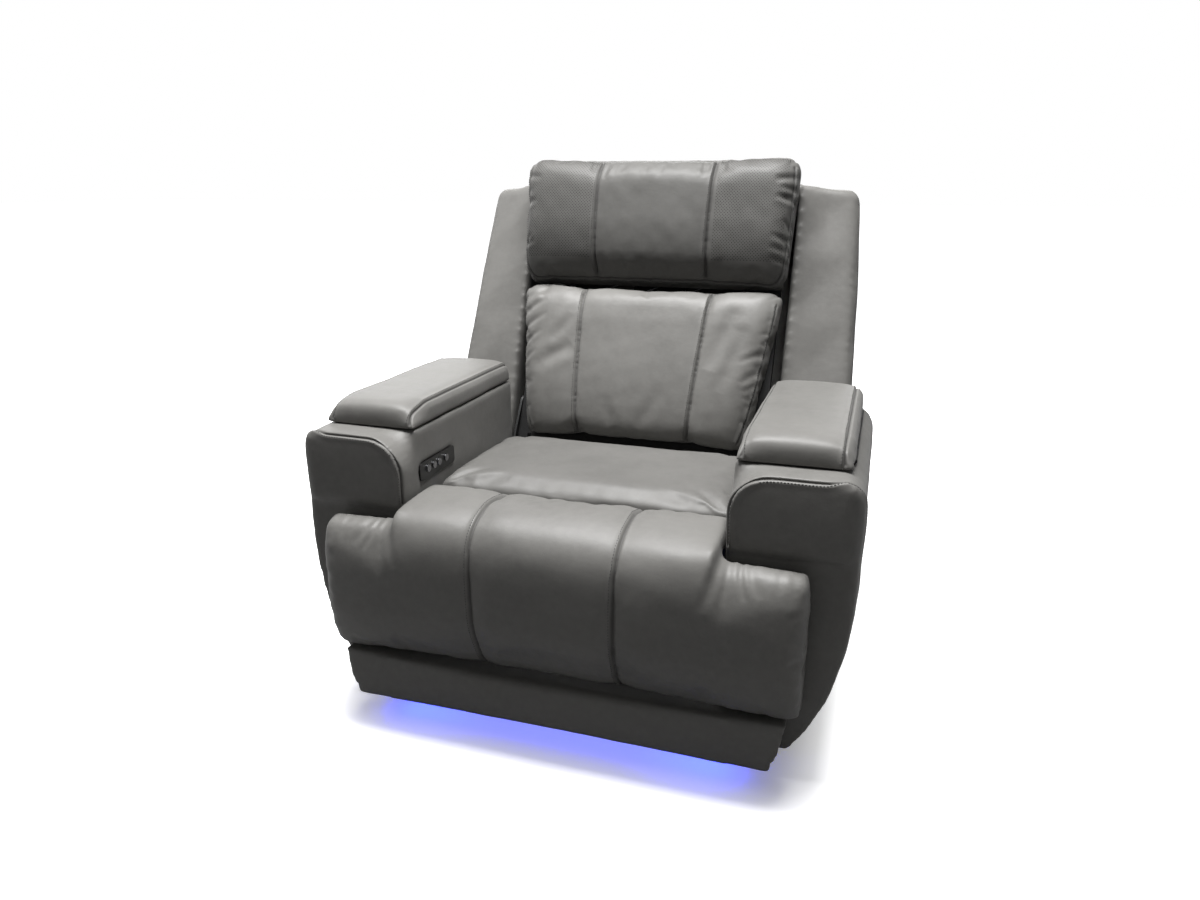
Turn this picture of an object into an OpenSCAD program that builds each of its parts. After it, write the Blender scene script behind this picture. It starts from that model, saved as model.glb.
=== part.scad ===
/* [Overall] */
// Width over both arms
overall_w = 1100; // [1040:5:1180]
// Depth from the front of the foot pad to the rear of the back
overall_d = 1027; // [1000:1:1060]
// Clear width of the seat between the arms
seat_w = 632; // [600:4:660]
// Height of the seat above the floor
seat_h = 485; // [475:1:500]

/* [Arms] */
// Height of the underside of the arms
arm_base_z = 62; // [55:1:75]
// Height of the arm tops under the lids
arm_top_z = 595; // [585:1:615]
// Length of an arm, front to rear
arm_len = 545; // [520:5:555]
// Depth of an arm's front behind the front of the foot pad
arm_setback = 86; // [82:1:100]
// How far an arm narrows from its widest line to its foot
arm_foot_in = 102; // [70:1:120]
// Height of an arm's widest line
arm_wide_z = 460; // [430:5:480]
// Radius of an arm's outer top edge
arm_top_r = 46; // [35:1:50]
// Radius of an arm's outer front edge, seen from above
arm_front_r = 34; // [20:1:44]
// Radius of the inner top corner of the arm front
pod_inner_r = 48; // [30:1:56]
// Height of the underside of the arm front's nose
pod_low_z = 456; // [452:1:470]

/* [Storage] */
// Depth of the storage well in each arm
well_d = 118; // [80:1:150]
// Inner wall of an arm beside the well
well_wall = 26; // [20:1:34]
// Thickness of the plastic bin wall
bin_t = 3; // [2:0.5:4]
// Thickness of a lid's padding
lid_pad_t = 40; // [34:1:46]
// Thickness of a lid's board
lid_board_t = 9; // [8:1:12]
// Distance of a lid's rear in front of the arm's rear
lid_rear_in = 6; // [4:1:24]
// How far a lid sets back from the arm front
lid_setback = 62; // [56:1:80]

/* [Foot pad] */
// Width of the T-shaped foot pad
pad_w = 942; // [900:2:960]
// Height of the foot pad's lower edge
pad_low_z = 157; // [152:1:165]
// Height of the pad's side wings
wing_top_z = 449; // [430:1:450]
// Depth from the pad's front to its back face
pad_t = 76; // [70:1:80]
// Depth from the pad's front to the crease at the seat cushion
roll_len = 208; // [200:1:212]
// Distance of the pad's sewn seams from the middle
pad_seam_x = 140; // [120:1:170]
// Thickness of the plywood boards
ply_t = 12; // [9:1:15]

/* [Base] */
// Height of the underside of the front rail
rail_low_z = 45; // [40:1:50]
// Height of the top of the front rail
rail_top_z = 147; // [140:1:150]
// Half width of the front rail at its top
rail_half_w = 446; // [430:1:460]
// Radius of a glide foot
foot_r = 22; // [18:1:28]

/* [Back] */
// Lean of the back from upright, in degrees
back_lean = 24.7; // [20:0.1:27]
// Height of the back's pivot
back_pivot_z = 400; // [396:1:404]
// Distance of the back's pivot in front of the arms' rear
back_pivot_in = 31; // [25:1:35]
// Length of the back shell above its pivot
back_h = 717; // [690:1:740]
// Half width of the back shell at its top
back_top_hw = 461; // [440:1:480]
// Half width of the back shell at its foot
back_low_hw = 500; // [480:1:520]
// Thickness of the back shell behind its front edge
back_t = 135; // [110:1:140]
// Length of the back cushion
back_pad_h = 380; // [360:1:382]
// Thickness of the back cushion
back_pad_t = 78; // [70:1:90]
// Distance of the back cushion's seams from the middle
back_seam_x = 145; // [120:1:170]

/* [Headrest] */
// Height of the headrest cushion
head_h = 300; // [280:1:310]
// Half width of the headrest cushion
head_hw = 328; // [310:1:335]
// Thickness of the headrest cushion
head_t = 112; // [100:1:120]
// Distance of the headrest's seams from the middle
head_seam_x = 139; // [120:1:170]

/* [Mechanism] */
// Thickness of a linkage bar
bar_t = 5; // [4:0.5:5]
// Width of a linkage bar
bar_w = 20; // [16:1:20]
// Radius of a pivot pin
pin_r = 5; // [4:0.5:6]
// Length of a swing link between its pivots
swing_len = 225; // [215:1:228]
// Angle of the swing links below the horizontal, in degrees
swing_a = 60; // [58:1:62]
// Thickness of the steel side plates
plate_t = 4; // [3:0.5:5]
// Side of a square steel tube
tube_s = 25; // [20:1:25]

/* [Controls] */
// Length of the control plate
control_l = 148; // [130:1:160]
// Height of the control plate
control_h = 38; // [32:1:44]
// Radius of a button
button_r = 7.5; // [6:0.5:9]
// Travel of a button
button_travel = 1.5; // [1:0.1:2]

/* [Hidden] */

leather = [0.26, 0.26, 0.27];
steel = [0.45, 0.46, 0.48];
plywood = [0.72, 0.58, 0.4];
black_plastic = [0.08, 0.08, 0.09];

// Clearance between pieces that touch but don't move
seat_gap = 0.3;
// Clearance between pieces that slide past each other
slip = 0.5;
// Radial clearance of a pin in its hole
pin_gap = 0.05;
// Overrun of every cut
over = 1;

front_y = -overall_d / 2;
arm_front_y = front_y + arm_setback;
arm_rear_y = arm_front_y + arm_len;
pad_rear_y = front_y + pad_t;
crease_y = front_y + roll_len;
seat_hw = seat_w / 2;
arm_hw = overall_w / 2;
back_pivot_d = arm_setback + arm_len - back_pivot_in;

// A 2D outline in depth and height, made solid from x0 to x1
module side_form(x0, x1) {
    translate([x0, 0, 0])
        rotate([90, 0, 90])
            linear_extrude(height = x1 - x0)
                children();
}

// A 2D outline in width and height, made solid from y0 to y1
module front_form(y0, y1) {
    translate([0, y1, 0])
        rotate([90, 0, 0])
            linear_extrude(height = y1 - y0)
                children();
}

// A box between two corners
module block(low, high) {
    translate(low)
        cube(high - low);
}

// A bar's cylinder across the width, from x0 to x1, at a point in depth and height
module cross_pin(x0, x1, at, r) {
    translate([x0, at[0], at[1]])
        rotate([0, 90, 0])
            cylinder(h = x1 - x0, r = r, $fn = 40);
}

// The right-hand form, or its mirror image for side -1
module on_side(side) {
    if (side < 0)
        mirror([1, 0, 0]) children();
    else
        children();
}

// Points of an arc, with angles in degrees
function arc(centre, r, a0, a1, n = 8) =
    [for (i = [0:n]) let (a = a0 + (a1 - a0) * i / n) centre + r * [cos(a), sin(a)]];

// A rectangle with rounded corners
function round_box(low, high, r, n = 6) = concat(
    arc([high[0] - r, high[1] - r], r, 0, 90, n),
    arc([low[0] + r, high[1] - r], r, 90, 180, n),
    arc([low[0] + r, low[1] + r], r, 180, 270, n),
    arc([high[0] - r, low[1] + r], r, 270, 360, n));

right_angle = 90;

// Direction at an angle, in depth and height
function aim(a) = [cos(a), sin(a)];

// Triangles that join a row of rings, with both ends closed
function ring_faces(rows, n) = concat(
    [for (i = [0:rows - 2], j = [0:n - 1]) [i * n + j, (i + 1) * n + j, (i + 1) * n + (j + 1) % n]],
    [for (i = [0:rows - 2], j = [0:n - 1]) [i * n + j, (i + 1) * n + (j + 1) % n, i * n + (j + 1) % n]],
    [for (j = [1:n - 2]) [0, j, j + 1]],
    [for (j = [1:n - 2]) let (e = (rows - 1) * n) [e, e + j + 1, e + j]]);

// A solid through a row of rings of equal length
module skin(rings) {
    polyhedron(
        points = [for (ring = rings) each ring],
        faces = ring_faces(len(rings), len(rings[0])));
}

function sign_power(v, p) = sign(v) * pow(abs(v), p);

// Depth of a sewn channel at a distance from its seam
function channel(x, seam, depth, width) = depth * exp(-pow((abs(x) - seam) / width, 2));

// Stations across a cushion, closer together at its seams and ends, as shares of half its width
end_shares = [0.62, 0.76, 0.87, 0.94, 0.98, 1];
function half_stations(seam_share, step) = concat(
    [seam_share * 0.45, seam_share - step, seam_share, seam_share + step], end_shares);
function stations(seam_share, step) = let (half = half_stations(seam_share, step), n = len(half))
    concat([for (i = [0:n - 1]) -half[n - 1 - i]], [0], half);

// How full a cushion is at a share of its half width, for a given roundness
function fullness(share, roundness) = pow(max(0, 1 - pow(abs(share), roundness)), 1 / roundness);

// Arms

pod_nose = 10;
arm_low_front_y = arm_front_y + pod_nose;
pod_r = 12;
arm_edge_r = 8;
arm_skin_shares = [0, 0.12, 0.3, 0.5, 0.7, 0.85];
arm_curve_power = 2.8;
lid_len = arm_len - lid_setback - lid_rear_in;
lid_front_y = arm_front_y + lid_setback;
lid_rear_y = lid_front_y + lid_len;
well_wall_out = 60;
well_end_wall = 26;
well_x0 = seat_hw + well_wall;
well_x1 = arm_hw - well_wall_out;
well_y0 = lid_front_y + well_end_wall;
well_y1 = lid_rear_y - well_end_wall;
well_z0 = arm_top_z - well_d;
hinge_r = 4;
hinge_pin_r = 1.5;
lid_edge = 31;
hinge_x = arm_hw - lid_edge;
lid_low_z = arm_top_z + slip;
hinge_z = lid_low_z + hinge_r;
leaf_t = 1.5;
leaf_w = 20;

// Outer side of an arm: narrow at the foot, widest at the elbow, rounded over at the top
function arm_outer() = concat(
    [for (s = arm_skin_shares)
        [arm_hw - arm_foot_in * pow(1 - s, arm_curve_power), arm_base_z + s * (arm_wide_z - arm_base_z)]],
    arc([arm_hw - arm_top_r, arm_top_z - arm_top_r], arm_top_r, 0, 90));

module arm_outline(inner_r) {
    polygon(concat([[seat_hw, arm_base_z]], arm_outer(),
        arc([seat_hw + inner_r, arm_top_z - inner_r], inner_r, 90, 180)));
}

// Side outline of an arm: its nose overhangs the foot pad's wing and is rounded above
module arm_side_outline() {
    polygon(concat(
        [[arm_low_front_y, arm_base_z], [arm_rear_y, arm_base_z], [arm_rear_y, arm_top_z]],
        arc([arm_front_y + pod_r, arm_top_z - pod_r], pod_r, 90, 180),
        [[arm_front_y, pod_low_z], [arm_low_front_y, pod_low_z]]));
}

// Plan outline with a large radius on the outer front edge and small ones on the other upright edges
module arm_plan_outline() {
    r = arm_edge_r;
    polygon(concat(
        arc([arm_hw - r, arm_rear_y - r], r, 0, right_angle),
        arc([seat_hw + r, arm_rear_y - r], r, right_angle, 2 * right_angle),
        arc([seat_hw + r, arm_front_y + r], r, 2 * right_angle, 3 * right_angle),
        arc([arm_hw - arm_front_r, arm_front_y + arm_front_r], arm_front_r,
            3 * right_angle, 4 * right_angle, 12)));
}

control_setback = 68;
control_front_y = arm_front_y + control_setback;
control_z = 505;
control_t = 3;
control_recess = 22;
button_out = 4;
button_shares = [0.216, 0.385, 0.527, 0.736];
button_rise = 2;
button_stem_r = 3;
button_stem_l = 9;
button_base_t = 2;
button_z = control_z + button_rise;

function button_y(i) = control_front_y + button_shares[i] * control_l;

module arm(side) {
    on_side(side) color(leather)
        difference() {
            intersection() {
                union() {
                    front_form(arm_front_y, lid_front_y) arm_outline(pod_inner_r);
                    front_form(lid_front_y, arm_rear_y) arm_outline(pod_r / 5);
                }
                side_form(seat_hw - over, arm_hw + over) arm_side_outline();
                translate([0, 0, arm_base_z - over])
                    linear_extrude(height = arm_top_z - arm_base_z + 2 * over)
                        arm_plan_outline();
            }
            block([well_x0, well_y0, well_z0], [well_x1, well_y1, arm_top_z + over]);
            // Rebate for the lid hinge's fixed leaf and knuckles
            block([hinge_x - leaf_w - slip, hinge_y0 - slip, arm_top_z - leaf_t],
                [hinge_x + hinge_r + slip, hinge_y1 + slip, arm_top_z + over]);
            if (side < 0)
                control_pocket();
        }
}

// Pocket for the control box in the arm's inner face
module control_pocket() {
    pocket_edge = 5;
    block([seat_hw - over, control_front_y + pocket_edge, control_z - control_h / 2 + pocket_edge],
        [seat_hw + control_recess, control_front_y + control_l - pocket_edge,
            control_z + control_h / 2 - pocket_edge]);
}

module left_arm() { arm(-1); }
module right_arm() { arm(1); }

module bin(side) {
    g = seat_gap;
    w = g + bin_t;
    on_side(side) color(black_plastic)
        difference() {
            block([well_x0 + g, well_y0 + g, well_z0], [well_x1 - g, well_y1 - g, arm_top_z]);
            block([well_x0 + w, well_y0 + w, well_z0 + bin_t], [well_x1 - w, well_y1 - w, arm_top_z + over]);
        }
}

module left_bin() { bin(-1); }
module right_bin() { bin(1); }

// Lids, with a piano hinge along the outer edge

lid_hinge_setback = 50;
hinge_y0 = lid_front_y + lid_hinge_setback;
hinge_y1 = lid_rear_y - lid_hinge_setback;
knuckle_count = 5;
knuckle_l = (hinge_y1 - hinge_y0) / knuckle_count;
lid_board_in = 14;
lid_inset = 2;
lid_x0 = seat_hw + lid_inset;
lid_x1 = hinge_x - hinge_r - slip;
lid_pad_z0 = lid_low_z + lid_board_t + seat_gap;
lid_pad_z1 = lid_pad_z0 + lid_pad_t;

module knuckle(i, r) {
    translate([hinge_x, hinge_y0 + (i + 1) * knuckle_l - slip / 2, hinge_z])
        rotate([90, 0, 0])
            cylinder(h = knuckle_l - slip, r = r, $fn = 32);
}

module knuckle_hole() {
    translate([hinge_x, hinge_y1 + over, hinge_z])
        rotate([90, 0, 0])
            cylinder(h = hinge_y1 - hinge_y0 + 2 * over, r = hinge_pin_r + pin_gap, $fn = 24);
}

// Fixed leaf with the outer knuckles and the hinge pin
module lid_hinge(side) {
    web = hinge_r / 2;
    on_side(side) color(steel) {
        difference() {
            union() {
                block([hinge_x - leaf_w, hinge_y0, arm_top_z - leaf_t],
                    [hinge_x + web, hinge_y1, arm_top_z]);
                for (i = [0:2:knuckle_count - 1]) {
                    knuckle(i, hinge_r);
                    block([hinge_x - web, hinge_y0 + i * knuckle_l + slip / 2, arm_top_z - leaf_t],
                        [hinge_x + web, hinge_y0 + (i + 1) * knuckle_l - slip / 2, hinge_z]);
                }
            }
            knuckle_hole();
        }
        translate([hinge_x, hinge_y1 - slip, hinge_z])
            rotate([90, 0, 0])
                cylinder(h = hinge_y1 - hinge_y0 - 2 * slip, r = hinge_pin_r, $fn = 24);
    }
}

// Plywood board with its moving leaf and knuckles
module lid_board(side) {
    corner_r = 12;
    web = hinge_r / 2;
    on_side(side) color(plywood) {
        difference() {
            translate([0, 0, lid_low_z])
                linear_extrude(height = lid_board_t)
                    polygon(round_box([lid_x0 + lid_board_in, lid_front_y + lid_board_in],
                        [lid_x1, lid_rear_y - lid_board_in], corner_r));
            block([lid_x1 - leaf_w, hinge_y0 - slip, lid_low_z - over],
                [lid_x1 + over, hinge_y1 + slip, lid_low_z + leaf_t]);
        }
        difference() {
            union() {
                block([lid_x1 - leaf_w, hinge_y0, lid_low_z], [lid_x1, hinge_y1, lid_low_z + leaf_t]);
                for (i = [1:2:knuckle_count - 1]) {
                    knuckle(i, hinge_r);
                    block([lid_x1 - web, hinge_y0 + i * knuckle_l + slip / 2, hinge_z - leaf_t],
                        [hinge_x, hinge_y0 + (i + 1) * knuckle_l - slip / 2, hinge_z + leaf_t]);
                }
            }
            knuckle_hole();
        }
    }
}

pad_ring_n = 24;
lid_pad_shares = [-1, -0.985, -0.95, -0.88, -0.6, -0.3, 0, 0.3, 0.6, 0.88, 0.95, 0.985, 1];

// Padded lid with drawn-in sides; its board lies in a recess below
module lid_pad(side) {
    x1 = hinge_x + hinge_r / 2;
    mid = (lid_x0 + x1) / 2;
    hw = (x1 - lid_x0) / 2;
    hl = lid_len / 2;
    z_mid = lid_low_z + lid_board_t / 2;
    low_h = lid_board_t / 2;
    high_h = lid_pad_z1 - z_mid;
    g = seat_gap;
    on_side(side) color(leather)
        difference() {
            translate([mid, lid_front_y + hl, z_mid])
                skin([for (s = lid_pad_shares) let (f = fullness(s * 0.995, 8))
                    [for (j = [0:pad_ring_n - 1]) let (a = -360 * j / pad_ring_n, c = cos(a), v = sin(a))
                        [hw * (0.94 + 0.06 * f) * sign_power(c, 0.3), s * hl,
                            v < 0
                                ? low_h * sign_power(v, 0.4)
                                : high_h * (0.75 + 0.25 * f) * sign_power(v, 0.5)]]]);
            block([lid_x0 + lid_board_in - g, lid_front_y + lid_board_in - g, lid_low_z - over],
                [x1 + over, lid_rear_y - lid_board_in + g, lid_pad_z0]);
        }
}

module left_lid_hinge() { lid_hinge(-1); }
module right_lid_hinge() { lid_hinge(1); }
module left_lid_board() { lid_board(-1); }
module right_lid_board() { lid_board(1); }
module left_lid_pad() { lid_pad(-1); }
module right_lid_pad() { lid_pad(1); }

// Control plate on the left arm, with its box behind and four round buttons

module control_plate() {
    edge_r = 9;
    box_edge = 6;
    box_gap = 1;
    box_depth = control_recess - box_gap;
    x_out = -seat_hw + control_t;
    color(black_plastic)
        difference() {
            union() {
                translate([-seat_hw, 0, 0])
                    side_form(0, control_t)
                        polygon(round_box([control_front_y, control_z - control_h / 2],
                            [control_front_y + control_l, control_z + control_h / 2], edge_r));
                block([-seat_hw - box_depth, control_front_y + box_edge,
                        control_z - control_h / 2 + box_edge],
                    [-seat_hw + slip, control_front_y + control_l - box_edge,
                        control_z + control_h / 2 - box_edge]);
            }
            for (i = [0:3]) {
                cross_pin(-seat_hw - button_stem_l - button_base_t - button_travel - slip, x_out + over,
                    [button_y(i), button_z], button_stem_r + pin_gap);
                cross_pin(x_out - control_t + slip, x_out + over,
                    [button_y(i), button_z], button_r + slip / 2);
            }
        }
}

// A round cap on a stem that runs in the control box
module button(i) {
    x_face = -seat_hw + control_t - slip * 2;
    color("silver") {
        cross_pin(x_face, x_face + button_out, [button_y(i), button_z], button_r);
        cross_pin(-seat_hw - button_stem_l, x_face, [button_y(i), button_z], button_stem_r);
    }
}

module button_1() { button(0); }
module button_2() { button(1); }
module button_3() { button(2); }
module button_4() { button(3); }

// Base

runner_w = 60;
runner_z0 = 26;
runner_x0 = 350;
runner_setback = 40;
runner_front_y = arm_front_y + runner_setback;
base_rear_over = 200;
base_rear_d = back_pivot_d + base_rear_over;
base_rear_y = front_y + base_rear_d;
rail_front_d = 57;
rail_bow = 14;
rail_rear_y = arm_low_front_y;
beam_t = 30;
foot_setback = 45;

module runner(side) {
    on_side(side) color(plywood)
        block([runner_x0, runner_front_y, runner_z0], [runner_x0 + runner_w, base_rear_y, arm_base_z]);
}

module left_base_rail() { runner(-1); }
module right_base_rail() { runner(1); }

// Padded front rail: bowed forward in plan, tapered to the floor in the front view
module front_rail() {
    rail_draw = 25;
    low_hw = rail_half_w - rail_draw;
    corner_r = 14;
    y_front = front_y + rail_front_d;
    plan_shares = [-1, -0.8, -0.6, -0.3, 0, 0.3, 0.6, 0.8, 1];
    color(leather)
        intersection() {
            front_form(y_front - rail_bow - over, rail_rear_y + over)
                polygon([[-low_hw, rail_low_z], [low_hw, rail_low_z],
                    [rail_half_w, rail_top_z], [-rail_half_w, rail_top_z]]);
            translate([0, 0, rail_low_z - over])
                linear_extrude(height = rail_top_z - rail_low_z + 2 * over)
                    polygon(concat(
                        [for (s = plan_shares) [s * rail_half_w, y_front - rail_bow * (1 - s * s)]],
                        [[rail_half_w, rail_rear_y], [-rail_half_w, rail_rear_y]]));
            side_form(-rail_half_w - over, rail_half_w + over)
                polygon(round_box([y_front - rail_bow - over, rail_low_z],
                    [rail_rear_y + corner_r, rail_top_z], corner_r));
        }
}

module rear_rail() {
    color(plywood)
        block([-runner_x0, base_rear_y - beam_t, runner_z0], [runner_x0, base_rear_y, arm_base_z]);
}

// Four glide feet, each a plate and a pad
module feet() {
    pad_h = 8;
    stem_r = 8;
    color(black_plastic)
        for (side = [-1, 1], y = [runner_front_y + foot_setback, base_rear_y - foot_setback])
            translate([side * (runner_x0 + runner_w / 2), y, 0]) {
                cylinder(h = pad_h, r = foot_r, $fn = 48);
                cylinder(h = runner_z0, r = stem_r, $fn = 32);
            }
}

// Light channel under the front rail
module light_strip() {
    strip_hw = 350;
    strip_h = 10;
    strip_w = 16;
    color("white")
        block([-strip_hw, rail_rear_y - strip_w, rail_low_z - strip_h - seat_gap],
            [strip_hw, rail_rear_y, rail_low_z - seat_gap]);
}

// Mechanism: pivots in depth and height on the side plates

swing_pivot_d = 245.5;
swing_pivot_z = 386;
swing_pivot = [front_y + swing_pivot_d, swing_pivot_z];
guide_gap = 55;
lift_d = 230;
lift_h = 108;
spread = 42;
guide_pivot = swing_pivot + [guide_gap, 0];
elbow = swing_pivot + swing_len * aim(-swing_a);
guide_elbow = elbow + [guide_gap, 0];
board_pivot = elbow + [-lift_d, lift_h];
bar_elbow = elbow + spread * aim(-swing_a);
board_bar_pivot = board_pivot + spread * aim(-swing_a);
torque_at = 90;
torque_tube_r = 12.5;
torque_point = swing_pivot + torque_at * aim(-swing_a);
back_pivot = [front_y + back_pivot_d, back_pivot_z];

plate_x0 = seat_hw - plate_t;
outer_x1 = plate_x0 - slip;
outer_x0 = outer_x1 - bar_t;
inner_x1 = outer_x0 - slip;
inner_x0 = inner_x1 - bar_t;
head_l = 2.5;
rivet_r = 8;
frame_gap = 2;
frame_x1 = inner_x0 - slip - head_l - frame_gap;
frame_x0 = frame_x1 - tube_s;
hole_r = pin_r + pin_gap;

// A flat bar with round ends from p to q
module strap(x0, x1, p, q, w) {
    a = atan2(q[1] - p[1], q[0] - p[0]);
    side_form(x0, x1)
        polygon(concat(
            arc(q, w / 2, a - right_angle, a + right_angle, 12),
            arc(p, w / 2, a + right_angle, a + 3 * right_angle, 12)));
}

// A rivet that starts at x1 and runs inward through the bar at bar_x0, with its head beyond
module rivet(x1, bar_x0, at) {
    head_x1 = bar_x0 - slip;
    cross_pin(head_x1, x1, at, pin_r);
    cross_pin(head_x1 - head_l, head_x1, at, rivet_r);
}

module pivot_hole(at) {
    cross_pin(inner_x0 - over, seat_hw + over, at, hole_r);
}

side_plate_r = 17;
guide_w_share = 0.9;
board_bar_w_share = 0.8;
cross_z1 = 358;
front_cross_d = 370;
rear_cross_in = 40;
rear_cross_d = back_pivot_d - rear_cross_in;
front_cross_y = front_y + front_cross_d;
rear_cross_y = front_y + rear_cross_d;
cross_z0 = cross_z1 - tube_s;

// Steel plate screwed to the arm's inner wall, with the pivots of the linkage and the back
module side_plate(side) {
    low_edge = 4;
    slant = 60;
    on_side(side) color(steel) {
        side_form(plate_x0, seat_hw)
            polygon(concat(
                arc(swing_pivot, side_plate_r, 2 * right_angle + slant, right_angle),
                arc(back_pivot, side_plate_r, right_angle, -slant),
                [[rear_cross_y + tube_s + side_plate_r, cross_z0 - low_edge],
                    [front_cross_y - side_plate_r, cross_z0 - low_edge]]));
        rivet(plate_x0, outer_x0, swing_pivot);
        rivet(plate_x0, outer_x0, guide_pivot);
        rivet(plate_x0, outer_x0, back_pivot);
    }
}

module left_side_plate() { side_plate(-1); }
module right_side_plate() { side_plate(1); }

module cross_tube(y) {
    wall = 2;
    color(steel)
        difference() {
            block([-plate_x0, y, cross_z0], [plate_x0, y + tube_s, cross_z1]);
            block([-plate_x0 - over, y + wall, cross_z0 + wall],
                [plate_x0 + over, y + tube_s - wall, cross_z1 - wall]);
        }
}

module front_cross_tube() { cross_tube(front_cross_y); }
module rear_cross_tube() { cross_tube(rear_cross_y); }

// Swing link: pivot, elbow and the guide beyond the elbow in one bar, with the elbow's rivets
module swing_link(side) {
    on_side(side) color(steel) {
        difference() {
            strap(outer_x0, outer_x1, swing_pivot, bar_elbow, bar_w);
            pivot_hole(swing_pivot);
        }
        rivet(outer_x0, inner_x0, elbow);
        rivet(outer_x0, inner_x0, bar_elbow);
    }
}

// Guide bar: runs parallel to the swing link
module guide_bar(side) {
    on_side(side) color(steel) {
        difference() {
            strap(outer_x0, outer_x1, guide_pivot, guide_elbow, bar_w * guide_w_share);
            pivot_hole(guide_pivot);
        }
        rivet(outer_x0, inner_x0, guide_elbow);
    }
}

// Lift link: keeps its direction while the swing links turn
module lift_link(side) {
    on_side(side) color(steel)
        difference() {
            union() {
                strap(inner_x0, inner_x1, elbow, board_pivot, bar_w);
                strap(inner_x0, inner_x1, elbow, guide_elbow, bar_w);
            }
            pivot_hole(elbow);
            pivot_hole(guide_elbow);
            pivot_hole(board_pivot);
        }
}

// Board bar: runs parallel to the lift link and turns the footrest level
module board_bar(side) {
    on_side(side) color(steel)
        difference() {
            strap(inner_x0, inner_x1, bar_elbow, board_bar_pivot, bar_w * board_bar_w_share);
            pivot_hole(bar_elbow);
            pivot_hole(board_bar_pivot);
        }
}

module left_swing_link() { swing_link(-1); }
module right_swing_link() { swing_link(1); }
module left_guide_bar() { guide_bar(-1); }
module right_guide_bar() { guide_bar(1); }
module left_lift_link() { lift_link(-1); }
module right_lift_link() { lift_link(1); }
module left_board_bar() { board_bar(-1); }
module right_board_bar() { board_bar(1); }

lug_t = 5;
lug_gap = 16;
lug_r = 9;

// Round tube that joins the two swing links, with the drive's two lugs
module torque_tube() {
    wall = 2;
    lug_l = 20;
    lug_end = torque_point - [0, lug_l];
    color(steel)
        difference() {
            union() {
                cross_pin(-outer_x0, outer_x0, torque_point, torque_tube_r);
                for (side = [-1, 1])
                    on_side(side)
                        strap(lug_gap / 2, lug_gap / 2 + lug_t, torque_point, lug_end, 2 * lug_r);
            }
            cross_pin(-outer_x0 - over, outer_x0 + over, torque_point, torque_tube_r - wall);
            cross_pin(-lug_gap - over, lug_gap + over, lug_end, pin_r);
        }
}

// Electric drive: gear motor, guide rail and the carriage with its push rod

motor_in = 88;
motor_d = back_pivot_d - motor_in;
drive_rail_h = 15;
drive_rail_w = 26;
drive_rail_d = 315;
drive_rail_y0 = front_y + drive_rail_d;
drive_rail_z0 = cross_z0 - drive_rail_h;
carriage_l = 40;
carriage_in = 72;
carriage_d = motor_d - carriage_in;
carriage_y0 = front_y + carriage_d;
carriage_h = 22;
rod_r = 6;
rod_tip = 18;
motor_l = 70;
motor_w = 76;
motor_h = 84;

module drive_rail() {
    color(steel)
        difference() {
            block([-drive_rail_w / 2, drive_rail_y0, drive_rail_z0],
                [drive_rail_w / 2, rear_cross_y + tube_s, cross_z0]);
            block([-drive_rail_w / 4, drive_rail_y0 - over, drive_rail_z0 - over],
                [drive_rail_w / 4, rear_cross_y - over, drive_rail_z0 + drive_rail_h / 2]);
        }
}

module drive_carriage() {
    rod_z = drive_rail_z0 - seat_gap - carriage_h / 2;
    rod_y0 = torque_point[0] + rod_tip;
    color(black_plastic) {
        block([-drive_rail_w / 2, carriage_y0, drive_rail_z0 - seat_gap - carriage_h],
            [drive_rail_w / 2, carriage_y0 + carriage_l, drive_rail_z0 - seat_gap]);
        translate([0, carriage_y0, rod_z])
            rotate([90, 0, 0])
                cylinder(h = carriage_y0 - rod_y0, r = rod_r, $fn = 32);
    }
}

module drive_motor() {
    motor_r = 27;
    y0 = front_y + motor_d;
    z1 = drive_rail_z0 - seat_gap;
    color(black_plastic) {
        block([-motor_w / 2, y0, z1 - motor_h], [motor_w / 2, y0 + motor_l, z1]);
        cross_pin(motor_w / 2, motor_w / 2 + motor_l, [y0 + motor_l / 2, z1 - motor_h / 2], motor_r);
    }
}

box_w = 150;
box_d = 62;
box_h = 42;
inlet_w = 28;
inlet_h = 20;
inlet_depth = 14;

// Power supply on the rear rail, with its inlet facing backwards
module power_box() {
    y1 = base_rear_y;
    inlet_z0 = arm_base_z + (box_h - inlet_h) / 2;
    color(black_plastic)
        difference() {
            block([-box_w / 2, y1 - box_d, arm_base_z], [box_w / 2, y1, arm_base_z + box_h]);
            block([-inlet_w / 2, y1 - inlet_depth, inlet_z0], [inlet_w / 2, y1 + over, inlet_z0 + inlet_h]);
        }
}

// Socket with two round pins in a hollow shell
module power_inlet() {
    y1 = base_rear_y;
    wall = 2;
    contact_r = 1.5;
    contact_x = 5;
    g = seat_gap;
    z0 = arm_base_z + (box_h - inlet_h) / 2;
    color(black_plastic) {
        difference() {
            block([-inlet_w / 2 + g, y1 - inlet_depth + g, z0 + g], [inlet_w / 2 - g, y1, z0 + inlet_h - g]);
            block([-inlet_w / 2 + g + wall, y1 - inlet_depth + g + wall, z0 + g + wall],
                [inlet_w / 2 - g - wall, y1 + over, z0 + inlet_h - g - wall]);
        }
        for (x = [-contact_x, contact_x])
            translate([x, y1 - wall, z0 + inlet_h / 2])
                rotate([90, 0, 0])
                    cylinder(h = inlet_depth - 2 * wall - g, r = contact_r, $fn = 24);
    }
}

// Seat: a tube frame on the cross tubes, with sinuous springs and the cushion

seat_frame_z1 = 398;
seat_frame_d0 = 216;
seat_frame_in = 12;
seat_frame_d1 = back_pivot_d - seat_frame_in;
seat_frame_y0 = front_y + seat_frame_d0;
seat_frame_y1 = front_y + seat_frame_d1;
spring_t = 3.5;

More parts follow.
